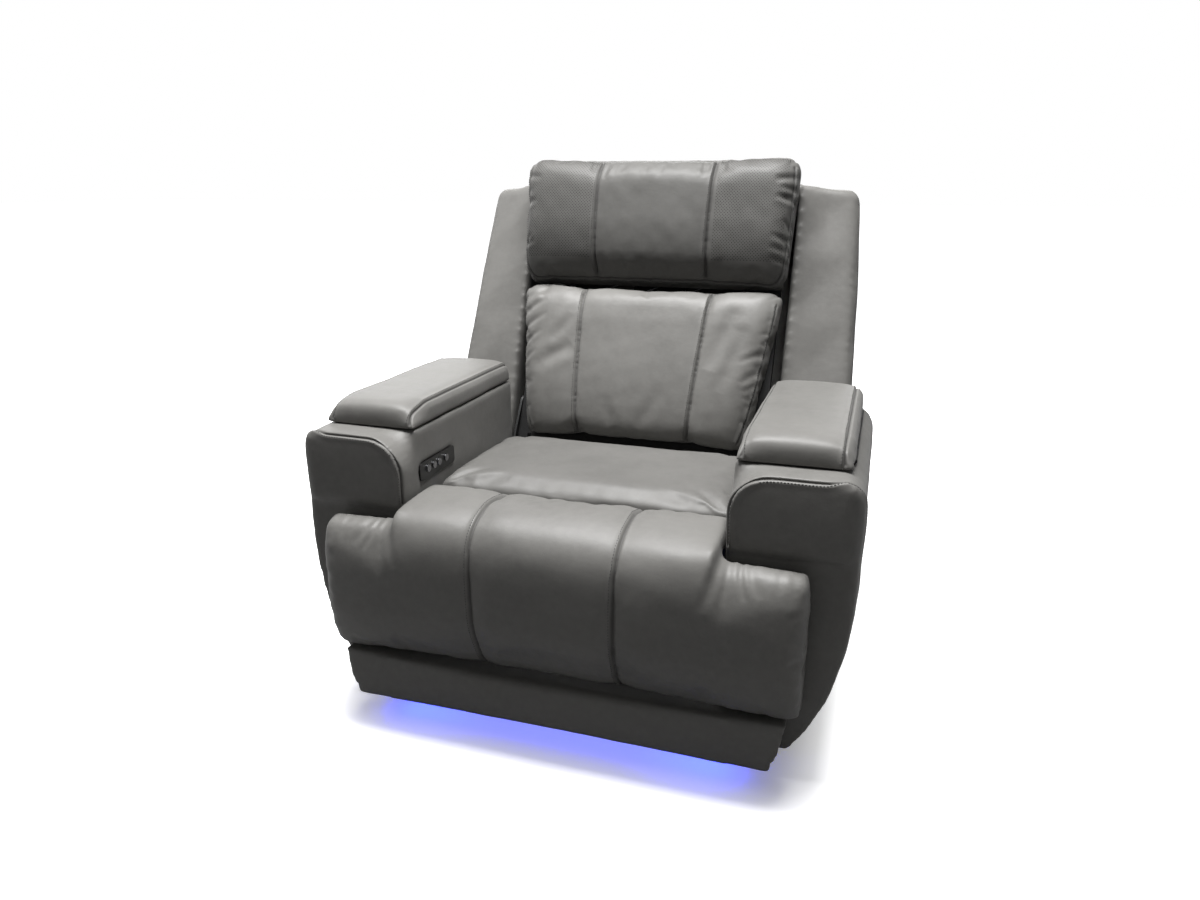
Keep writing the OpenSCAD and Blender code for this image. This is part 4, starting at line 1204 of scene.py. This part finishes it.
class SEAT_OT_base_panel(bpy.types.Operator):
    """Cover the padded front rail of the base"""

    bl_idname = "seat.base_panel"
    bl_label = "Base panel"

    def execute(self, context):
        piece = evened(merged_copy("base_panel_leather", ["front_rail"]), 0.006, 3)
        divided(piece)
        co, n = points(piece), normals(piece)
        co = eased(co, RAIL_HALF, RAIL_LOW, -1, 0.034)
        below = 1 - smooth_step(co[:, 2], RAIL_LOW, 0.10)
        arch = below * (1 - (co[:, 0] / RAIL_HALF) ** 2)
        co[:, 2] += 0.005 * below + 0.010 * arch + 0.005 * smooth_step(co[:, 2], 0.10, 0.14)
        co[:, 1] -= 0.018 * smooth_step(-co[:, 1], 0.430, 0.452)
        place(piece, co)
        belly = 0.003 * np.sin(np.clip((co[:, 2] - RAIL_LOW) / RAIL_HEIGHT, 0, 1) * math.pi)
        moved(piece, (-n[:, 1] > 0.3) * belly + 0.0008 * waves(co, 0.17, 31))
        dressed(piece, finish_named("leather"), "base", ["front_rail"])
        return {"FINISHED"}


class SEAT_OT_wings(bpy.types.Operator):
    """Cover the back's shell and its wings, sewn along their outer edges"""

    bl_idname = "seat.wings"
    bl_label = "Back shell"

    def execute(self, context):
        piece = evened(merged_copy("wing_leather", ["back_shell"]), 0.0105, 4)
        divided(piece)
        paths = [self.seam(piece, sign) for sign in (-1, 1)]
        refined(piece, paths)
        co = points(piece)
        x, w, _ = back_coords(co)
        inside = (np.abs(x) < 0.335) & (w < 0.11)
        moved(piece, np.where(inside, 0, 0.0016 * waves(co, 0.26, 41)))
        x, w, v = back_coords(points(piece))
        outer = smooth_step(np.abs(x), 0.39, 0.43)
        wide = x + np.sign(x) * 0.006 * outer * smooth_step(v, 0.1, 0.6)
        place(piece, np.stack(back_place(wide, w, v + 0.005 * smooth_step(v, 0.60, 0.68)), 1))
        for path, sign in zip(paths, (-1, 1)):
            sewn(piece, path, half=0.0030, depth=0.0050, lap=0.0020, side=-sign, fade=0.001)
        dressed(piece, finish_named("leather"), "back", ["back_shell"])
        rows = [beside(piece, path, -sign * BESIDE_LAP) for path, sign in zip(paths, (-1, 1))]
        stitched("wing_stitches", rows, "back")
        return {"FINISHED"}

    def seam(self, piece, sign):
        """Up the wing's outer front edge and over its top corner."""
        rays, corner, top = [], 0.432, 0.690
        for v in np.arange(0.075, top, 0.01):
            half = 0.500 - 0.039 * (v - 0.052) / 0.665
            rays.append(way_in(back_place, (sign * (half + 0.2), -0.10, v), (sign * (half - 0.03), 0.055, v)))
        for c, d in turns(0, 85, 8):
            start = (sign * (corner + 0.25 * c), -0.10, top + 0.25 * d)
            rays.append(way_in(back_place, start, (sign * corner, 0.045, top)))
        for x in np.arange(0.43, 0.34, -0.008):
            rays.append(way_in(back_place, (sign * x, -0.11, 0.94), (sign * x, 0.045, top)))
        return resampled(traced(surface(piece), rays)[0], smooth=4)


class SEAT_OT_seat_cushion(bpy.types.Operator):
    """Stuff and cover the seat cushion"""

    bl_idname = "seat.seat_cushion"
    bl_label = "Seat cushion"

    def execute(self, context):
        piece = evened(merged_copy("seat_cushion_leather", ["seat_cushion"]), 0.007, 3)
        below = 1 - smooth_step(points(piece)[:, 2], 0.42, 0.45)
        stuffed(piece, below, 0.003, 3.0, 0.009)
        divided(piece)
        co, n = points(piece), normals(piece)
        top = smooth_step(n[:, 2], 0.2, 0.7)
        dish = -0.004 * np.exp(-((co[:, 0] / 0.2) ** 2) - ((co[:, 1] + 0.08) / 0.14) ** 2)
        front = smooth_step(-co[:, 1], 0.255, 0.295)
        puckers = 0.0004 * front * np.sin(co[:, 0] * 2 * math.pi / 0.047 + 1.1 * np.sin(co[:, 0] * 19))
        moved(piece, top * (dish + puckers + 0.0018 * waves(co, 0.2, 51)))
        # A darker copy of the leather: painted shade on the seat cushion.
        dressed(piece, finish_named("seat_leather"), "base", ["seat_cushion"])
        return {"FINISHED"}


class SEAT_OT_footrest_pad(bpy.types.Operator):
    """Stuff, sew and cover the footrest pad that rolls over the seat's edge"""

    bl_idname = "seat.footrest_pad"
    bl_label = "Footrest pad"

    PLEATS = (
        (0.318, 0.455, 0.296, 0.372, 0.0088, 0.0020),
        (0.332, 0.450, 0.330, 0.385, 0.0063, 0.0018),
        (0.348, 0.449, 0.366, 0.396, 0.0050, 0.0022),
        (0.362, 0.449, 0.392, 0.402, 0.0075, 0.0015),
        (0.418, 0.446, 0.424, 0.412, 0.0063, 0.0011),
        (0.440, 0.444, 0.452, 0.400, 0.0075, 0.0010),
        (0.466, 0.380, 0.436, 0.372, 0.0075, 0.0009),
        (0.468, 0.330, 0.440, 0.336, 0.0075, 0.0007),
    )

    def execute(self, context):
        piece = evened(merged_copy("footrest_pad_leather", ["footrest_pad"]), 0.007, 3)
        co = points(piece)
        behind = np.maximum(
            smooth_step(co[:, 1], -0.447, -0.441) * (1 - smooth_step(co[:, 2], 0.438, 0.446)),
            smooth_step(co[:, 1], -0.325, -0.312) * (1 - smooth_step(co[:, 2], 0.45, 0.47)),
        )
        stuffed(piece, behind, 0.006, 4.0, 0.012, 0.015)
        co = points(piece)
        co[:, 2] += (PAD_LOW - np.percentile(co[:, 2], 1)) * (1 - smooth_step(co[:, 2], 0.17, 0.25))
        place(piece, co)
        roll = smooth_step(-co[:, 1], 0.37, 0.41) * smooth_step(co[:, 2], 0.36, 0.40)
        relaxed(piece, 60, roll * (1 - smooth_step(np.abs(co[:, 0]), 0.285, 0.305)))
        divided(piece)
        co = eased(points(piece), PAD_HALF, PAD_WING_TOP, 1, 0.026)
        side = np.clip((np.abs(co[:, 0]) - 0.436) / 0.035, 0, 1) * smooth_step(-co[:, 1], 0.38, 0.44)
        co[:, 1] += 0.012 * side * side
        place(piece, co)
        shoulder = np.exp(-(((np.abs(co[:, 0]) - 0.318) / 0.022) ** 2)) * smooth_step(co[:, 2], 0.36, 0.42)
        wing = smooth_step(np.abs(co[:, 0]), 0.330, 0.350) * smooth_step(co[:, 2], 0.39, 0.42)
        relaxed(piece, 60, np.maximum(shoulder, wing))
        paths = [self.seam(piece, sign) for sign in (-1, 1)]
        refined(piece, paths)
        self.fold(piece)
        both_sewn(piece, paths, (), 0)
        dressed(piece, finish_named("leather"), "footrest", ["footrest_pad"])
        stitched("footrest_pad_stitches", rows_beside(piece, paths, ()), "footrest")
        return {"FINISHED"}

    def seam(self, piece, sign):
        """The seam's path, from the pad's lower edge up its front and back to the crease."""
        y, z = -0.43, 0.415
        heights = np.arange(0.162, 0.42, 0.006)
        rays = [((sign * (0.137 + 0.009 * (h - 0.16)), -0.8, h), (0, 1, 0)) for h in heights]
        rays += [((sign * 0.1405, y - 0.4 * c, z + 0.4 * d), (0, c, -d)) for c, d in turns(0, 91, 5)]
        rays += [((sign * 0.1415, at, 0.8), (0, 0, -1)) for at in np.arange(-0.42, -0.312, 0.006)]
        return resampled(traced(surface(piece), rays)[0])

    def fold(self, piece):
        """Pleats under the arm fronts and the soft unevenness of a stuffed pad."""
        co, n = points(piece), normals(piece)
        out = smooth_step(-n[:, 1] + np.maximum(n[:, 2], 0), 0.1, 0.5)
        pleats = creases(co[:, 0], co[:, 2], self.PLEATS)
        pleats += creases(-co[:, 0] * 1.012, co[:, 2] + 0.003, self.PLEATS)
        edge = smooth_step(np.abs(co[:, 0]), 0.44, 0.465) * np.sin(co[:, 2] * 2 * math.pi / 0.041 + 0.8)
        moved(piece, out * (pleats + 0.0006 * edge + 0.0013 * waves(co, 0.22, 11)))


class SEAT_OT_back_cushion(bpy.types.Operator):
    """Stuff, sew and cover the back cushion"""

    bl_idname = "seat.back_cushion"
    bl_label = "Back cushion"

    PULLS = (
        (-0.318, 0.395, -0.250, 0.428, 0.008, 0.0018),
        (-0.316, 0.352, -0.246, 0.398, 0.007, 0.0021),
        (-0.312, 0.312, -0.238, 0.362, 0.007, 0.0020),
        (-0.308, 0.272, -0.246, 0.318, 0.006, 0.0017),
        (-0.304, 0.232, -0.252, 0.268, 0.006, 0.0013),
        (-0.235, 0.235, -0.165, 0.285, 0.016, 0.0039),
        (-0.205, 0.300, -0.175, 0.360, 0.012, 0.0021),
        (0.312, 0.270, 0.246, 0.212, 0.008, 0.0022),
        (0.308, 0.300, 0.240, 0.262, 0.007, 0.0018),
        (0.304, 0.236, 0.256, 0.196, 0.006, 0.0016),
        (0.214, 0.372, 0.176, 0.240, 0.020, 0.0041),
        (0.240, 0.330, 0.205, 0.190, 0.015, 0.0030),
        (0.300, 0.190, 0.262, 0.160, 0.006, 0.0012),
        (0.060, 0.170, 0.020, 0.095, 0.014, 0.0018),
        (-0.060, 0.150, -0.035, 0.085, 0.013, 0.0016),
    )

    def execute(self, context):
        piece = evened(merged_copy("back_cushion_leather", ["back_cushion"]), 0.006, 3)
        behind = smooth_step(back_coords(points(piece))[1], -0.014, -0.002)
        stuffed(piece, behind, 0.003, 4.0, 0.011, 0.025)
        x, w, v = back_coords(points(piece))
        front = smooth_step(-w, 0.0, 0.03)
        reach, depth = (0.16, 0.05, 0.06), (0.020, 0.006, 0.016)
        px, pw, pv = pillowed(x, w, v, back_half(v), BACK_LOW, BACK_HIGH, reach, depth, 0.030)
        pv = pv + 0.010 * smooth_step(pv, 0.36, 0.43) - 0.010 * (1 - smooth_step(pv, 0.06, 0.16))
        place(piece, np.stack(back_place(px, w + (pw - w) * front, pv), 1))
        divided(piece)
        paths = [self.seam(piece, sign) for sign in (-1, 1)]
        rims = [self.rim(piece, sign) for sign in (-1, 1)]
        refined(piece, paths + rims)
        co = points(piece)
        x, w, v = back_coords(co)
        front = smooth_step(-w, 0.012, 0.045)
        moved(piece, front * (creases(x, v, self.PULLS) + 0.0014 * waves(co, 0.18, 61)))
        both_sewn(piece, paths, rims, 0.0016)
        dressed(piece, finish_named("leather"), "back", ["back_cushion"])
        stitched("back_cushion_stitches", rows_beside(piece, paths, rims), "back")
        return {"FINISHED"}

    def seam(self, piece, sign):
        """A seam that leans outwards as it goes up."""
        rays = []
        for w0, v0, w1, v1 in section_spots(-0.078, 0.10, 0.395, -0.03):
            rise = (v1 + (v0 - v1) * 0.15 - BACK_LOW) / BACK_RISE
            lean = sign * (0.134 + 0.023 * np.clip(rise, 0, 1))
            rays += ways_in(back_place, lean, [(w0, v0, w1, v1)])
        return resampled(traced(surface(piece), rays)[0])

    def rim(self, piece, sign):
        """The seam along the cushion's side edge, between its face and its side."""
        rays = []
        for v in np.arange(0.085, 0.412, 0.008):
            outside, edge = back_half(v) + 0.14, back_half(v) - 0.03
            rays.append(way_in(back_place, (sign * outside, -0.20, v), (sign * edge, -0.03, v)))
        return resampled(traced(surface(piece), rays)[0])


class SEAT_OT_headrest(bpy.types.Operator):
    """Stuff, sew, gather and cover the headrest, with its perforated sides"""

    bl_idname = "seat.headrest"
    bl_label = "Headrest"

    PULLS = (
        (-0.118, 0.256, -0.126, 0.196, 0.006, 0.0026),
        (-0.160, 0.256, -0.156, 0.214, 0.006, 0.0018),
        (0.112, 0.258, 0.118, 0.200, 0.006, 0.0034),
        (0.124, 0.256, 0.126, 0.205, 0.005, 0.0030),
        (0.158, 0.256, 0.162, 0.212, 0.006, 0.0022),
        (0.330, 0.206, 0.282, 0.196, 0.007, 0.0025),
        (0.332, 0.150, 0.286, 0.160, 0.007, 0.0028),
        (0.330, 0.176, 0.296, 0.178, 0.006, 0.0012),
        (-0.330, 0.212, -0.286, 0.200, 0.007, 0.0019),
        (-0.332, 0.140, -0.292, 0.146, 0.007, 0.0014),
        (0.328, 0.060, 0.282, 0.070, 0.006, 0.0013),
        (0.326, 0.034, 0.280, 0.044, 0.006, 0.0013),
        (0.322, 0.010, 0.284, 0.020, 0.006, 0.0011),
        (-0.326, 0.040, -0.290, 0.046, 0.006, 0.0010),
        (-0.040, 0.256, -0.036, 0.228, 0.010, 0.0012),
        (0.030, 0.256, 0.034, 0.232, 0.009, 0.0012),
        (-0.118, 0.010, -0.095, -0.040, 0.008, 0.0016),
    )

    def execute(self, context):
        sewing = context.scene.seat_sewing
        piece = evened(merged_copy("headrest_shaded_leather", ["headrest_cushion"]), 0.006, 3)
        behind = smooth_step(head_coords(points(piece))[1], -0.024, -0.008)
        stuffed(piece, behind, 0.003, 4.5, 0.012, 0.025)
        x, w, v = head_coords(points(piece))
        front = smooth_step(-w, -0.01, 0.03)
        reach, depth = (0.15, 0.06, 0.06), (0.030, 0.012, 0.018)
        px, pw, pv = pillowed(x, w, v, HEAD_HALF, HEAD_LOW, HEAD_HIGH, reach, depth, 0.034)
        pv = pv - 0.003 * front * (1 - smooth_step(pv, -0.04, 0.03)) + 0.007 * smooth_step(pv, 0.17, 0.24)
        place(piece, np.stack(head_place(px, w + (pw - w) * front, pv), 1))
        divided(piece)
        paths = [self.seam(piece, sign) for sign in (-1, 1)]
        rims = [self.rim(piece, sign) for sign in (-1, 1)]
        refined(piece, paths + rims)
        co = points(piece)
        x, w, v = head_coords(co)
        front = smooth_step(-w, 0.004, 0.03)
        moved(piece, front * (creases(x, v, self.PULLS) + 0.0014 * waves(co, 0.16, 71)))
        both_sewn(piece, paths, rims, 0.0018)
        # A darker copy of the leather: painted shade on the headrest.
        hide = finish_named("headrest_shaded_leather")
        dressed(piece, hide, "headrest", ["headrest_cushion"])
        stitched("headrest_stitches", rows_beside(piece, paths, rims), "headrest")
        # The holes are flat near-black spots, not cut: painted shade for their depth.
        holes = recipe_named("perforations").applied(
            guide_mesh("headrest_perforations", [self.punched(piece, sewing)], False),
            Radius=sewing.hole_r,
            Finish=finish_named("hole"),
        )
        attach(holes, "headrest")
        return {"FINISHED"}

    def seam(self, piece, sign):
        """A seam up the front, nearly upright."""
        rays = []
        for w0, v0, w1, v1 in section_spots(-0.07, -0.012, 0.215, -0.028):
            lean = sign * (0.135 + 0.006 * np.clip((v1 - HEAD_LOW) / 0.3, 0, 1))
            rays += ways_in(head_place, lean, [(w0, v0, w1, v1)])
        return resampled(traced(surface(piece), rays)[0])

    def rim(self, piece, sign):
        """The seam round the side and the lower edge of the front."""
        rays, x = [], 0.29
        for v in np.arange(0.225, 0.0, -0.008):
            rays.append(way_in(head_place, (sign * 0.47, -0.16, v), (sign * x, -0.02, v)))
        for c, d in turns(0, 91, 7):
            start = (sign * (x + 0.2 * c), -0.15 + 0.03 * d, -0.26 * d)
            rays.append(way_in(head_place, start, (sign * x, -0.02, -0.004 - 0.022 * d)))
        for x in np.arange(0.282, 0.0, -0.008):
            rays.append(way_in(head_place, (sign * x, -0.12, -0.26), (sign * x, -0.02, -0.026)))
        return resampled(traced(surface(piece), rays)[0], smooth=4)

    def punched(self, piece, sewing):
        """Places of the holes: staggered rows on the two side panels, clear of the seams."""
        rays, half, bend = [], sewing.hole_pitch / 2, 0.235
        for row, v in enumerate(np.arange(0.012, 0.268, half)):
            spot = (-0.4, min(v, bend) + max(0, v - bend) * 9, -0.02, min(v, bend))
            for x in np.arange(0.152 + (row % 2) * half, 0.312, sewing.hole_pitch):
                for sign in (-1, 1):
                    rays += ways_in(head_place, sign * x, [spot])
        found, normal = traced(surface(piece), rays)
        return found + normal * HOLE_LIFT, normal


class SEAT_OT_liners(bpy.types.Operator):
    """Close the gaps between the cushions with stretched cloth, as the frame's lining does"""

    bl_idname = "seat.liners"
    bl_label = "Linings"

    def execute(self, context):
        self.panel("back_lining", 0.298, 0.405, 0.446, -0.0010)
        self.panel("back_foot_lining", 0.270, 0.024, 0.130, 0.0035)
        return {"FINISHED"}

    def panel(self, name, half, v0, v1, w):
        """A taut strip across the back's frame."""
        bm = bmesh.new()
        columns, rows = 60, 12
        grid = []
        for i in range(columns + 1):
            x = half * (2 * i / columns - 1)
            up = (v0 + (v1 - v0) * j / rows for j in range(rows + 1))
            grid.append([bm.verts.new(back_place(x, w, v)) for v in up])
        for i in range(columns):
            for j in range(rows):
                bm.faces.new((grid[i][j], grid[i + 1][j], grid[i + 1][j + 1], grid[i][j + 1]))
        mesh = bpy.data.meshes.new(name)
        bm.to_mesh(mesh)
        bm.free()
        piece = new_object(name, mesh)
        dressed(piece, finish_named("lining"), "back")


class SEAT_OT_hardware(bpy.types.Operator):
    """Finish the frame, the mechanism, the bins and the controls"""

    bl_idname = "seat.hardware"
    bl_label = "Hardware"

    # The CAD nodes that keep their own shape, by finish.
    FINISH_OF = {
        "stained_plywood": "left_base_rail right_base_rail rear_rail",
        "lining": "left_lid_board right_lid_board footrest_board headrest_board",
        "black_steel": "left_side_plate right_side_plate front_cross_tube rear_cross_tube drive_rail"
        " seat_left_rail seat_right_rail seat_front_rail seat_rear_rail left_lid_hinge right_lid_hinge"
        " back_left_post back_right_post back_top_rail back_low_rail left_footrest_bracket"
        " right_footrest_bracket left_swing_link right_swing_link torque_tube left_lift_link"
        " right_lift_link left_guide_bar right_guide_bar left_board_bar right_board_bar",
        "spring_wire": "seat_springs back_springs",
        "matt_plastic": "left_bin right_bin feet power_inlet power_box drive_motor drive_carriage"
        " headrest_motor",
        "gloss_panel": "control_plate",
        "chrome": "button_1 button_2 button_3 button_4",
        "glow_strip": "light_strip",
    }

    def execute(self, context):
        for finish, names in self.FINISH_OF.items():
            for name in names.split():
                mesh = NODES[name].data
                if not mesh.materials:
                    mesh.materials.append(None)
                for i in range(len(mesh.materials)):
                    mesh.materials[i] = finish_named(finish)
        return {"FINISHED"}


OPERATORS = (
    SEAT_OT_stage,
    SEAT_OT_arms,
    SEAT_OT_lids,
    SEAT_OT_base_panel,
    SEAT_OT_wings,
    SEAT_OT_seat_cushion,
    SEAT_OT_footrest_pad,
    SEAT_OT_back_cushion,
    SEAT_OT_headrest,
    SEAT_OT_liners,
    SEAT_OT_hardware,
)


class SEAT_PT_panel(bpy.types.Panel):
    """Lists the steps that dress the seat"""

    bl_label = "Recliner"
    bl_idname = "SEAT_PT_panel"
    bl_space_type = "VIEW_3D"
    bl_region_type = "UI"
    bl_category = "Recliner"

    def draw(self, context):
        scene = context.scene
        for group in (scene.seat_leather, scene.seat_sewing, scene.seat_light):
            box = self.layout.box()
            for name in group.__annotations__:
                box.prop(group, name)
        for step in OPERATORS:
            self.layout.operator(step.bl_idname)


GROUPS = {
    "seat_leather": SeatLeatherSettings,
    "seat_sewing": SeatSewingSettings,
    "seat_light": SeatLightSettings,
}


def register():
    for group in GROUPS.values():
        bpy.utils.register_class(group)
    for name, group in GROUPS.items():
        setattr(bpy.types.Scene, name, PointerProperty(type=group))
    for made in (*OPERATORS, SEAT_PT_panel):
        bpy.utils.register_class(made)


def unregister():
    for made in (SEAT_PT_panel, *reversed(OPERATORS)):
        bpy.utils.unregister_class(made)
    for name in GROUPS:
        delattr(bpy.types.Scene, name)
    for group in reversed(GROUPS.values()):
        bpy.utils.unregister_class(group)


def main():
    register()
    for step in OPERATORS:
        getattr(bpy.ops.seat, step.bl_idname.split(".")[1])()


if __name__ == "__main__":
    main()
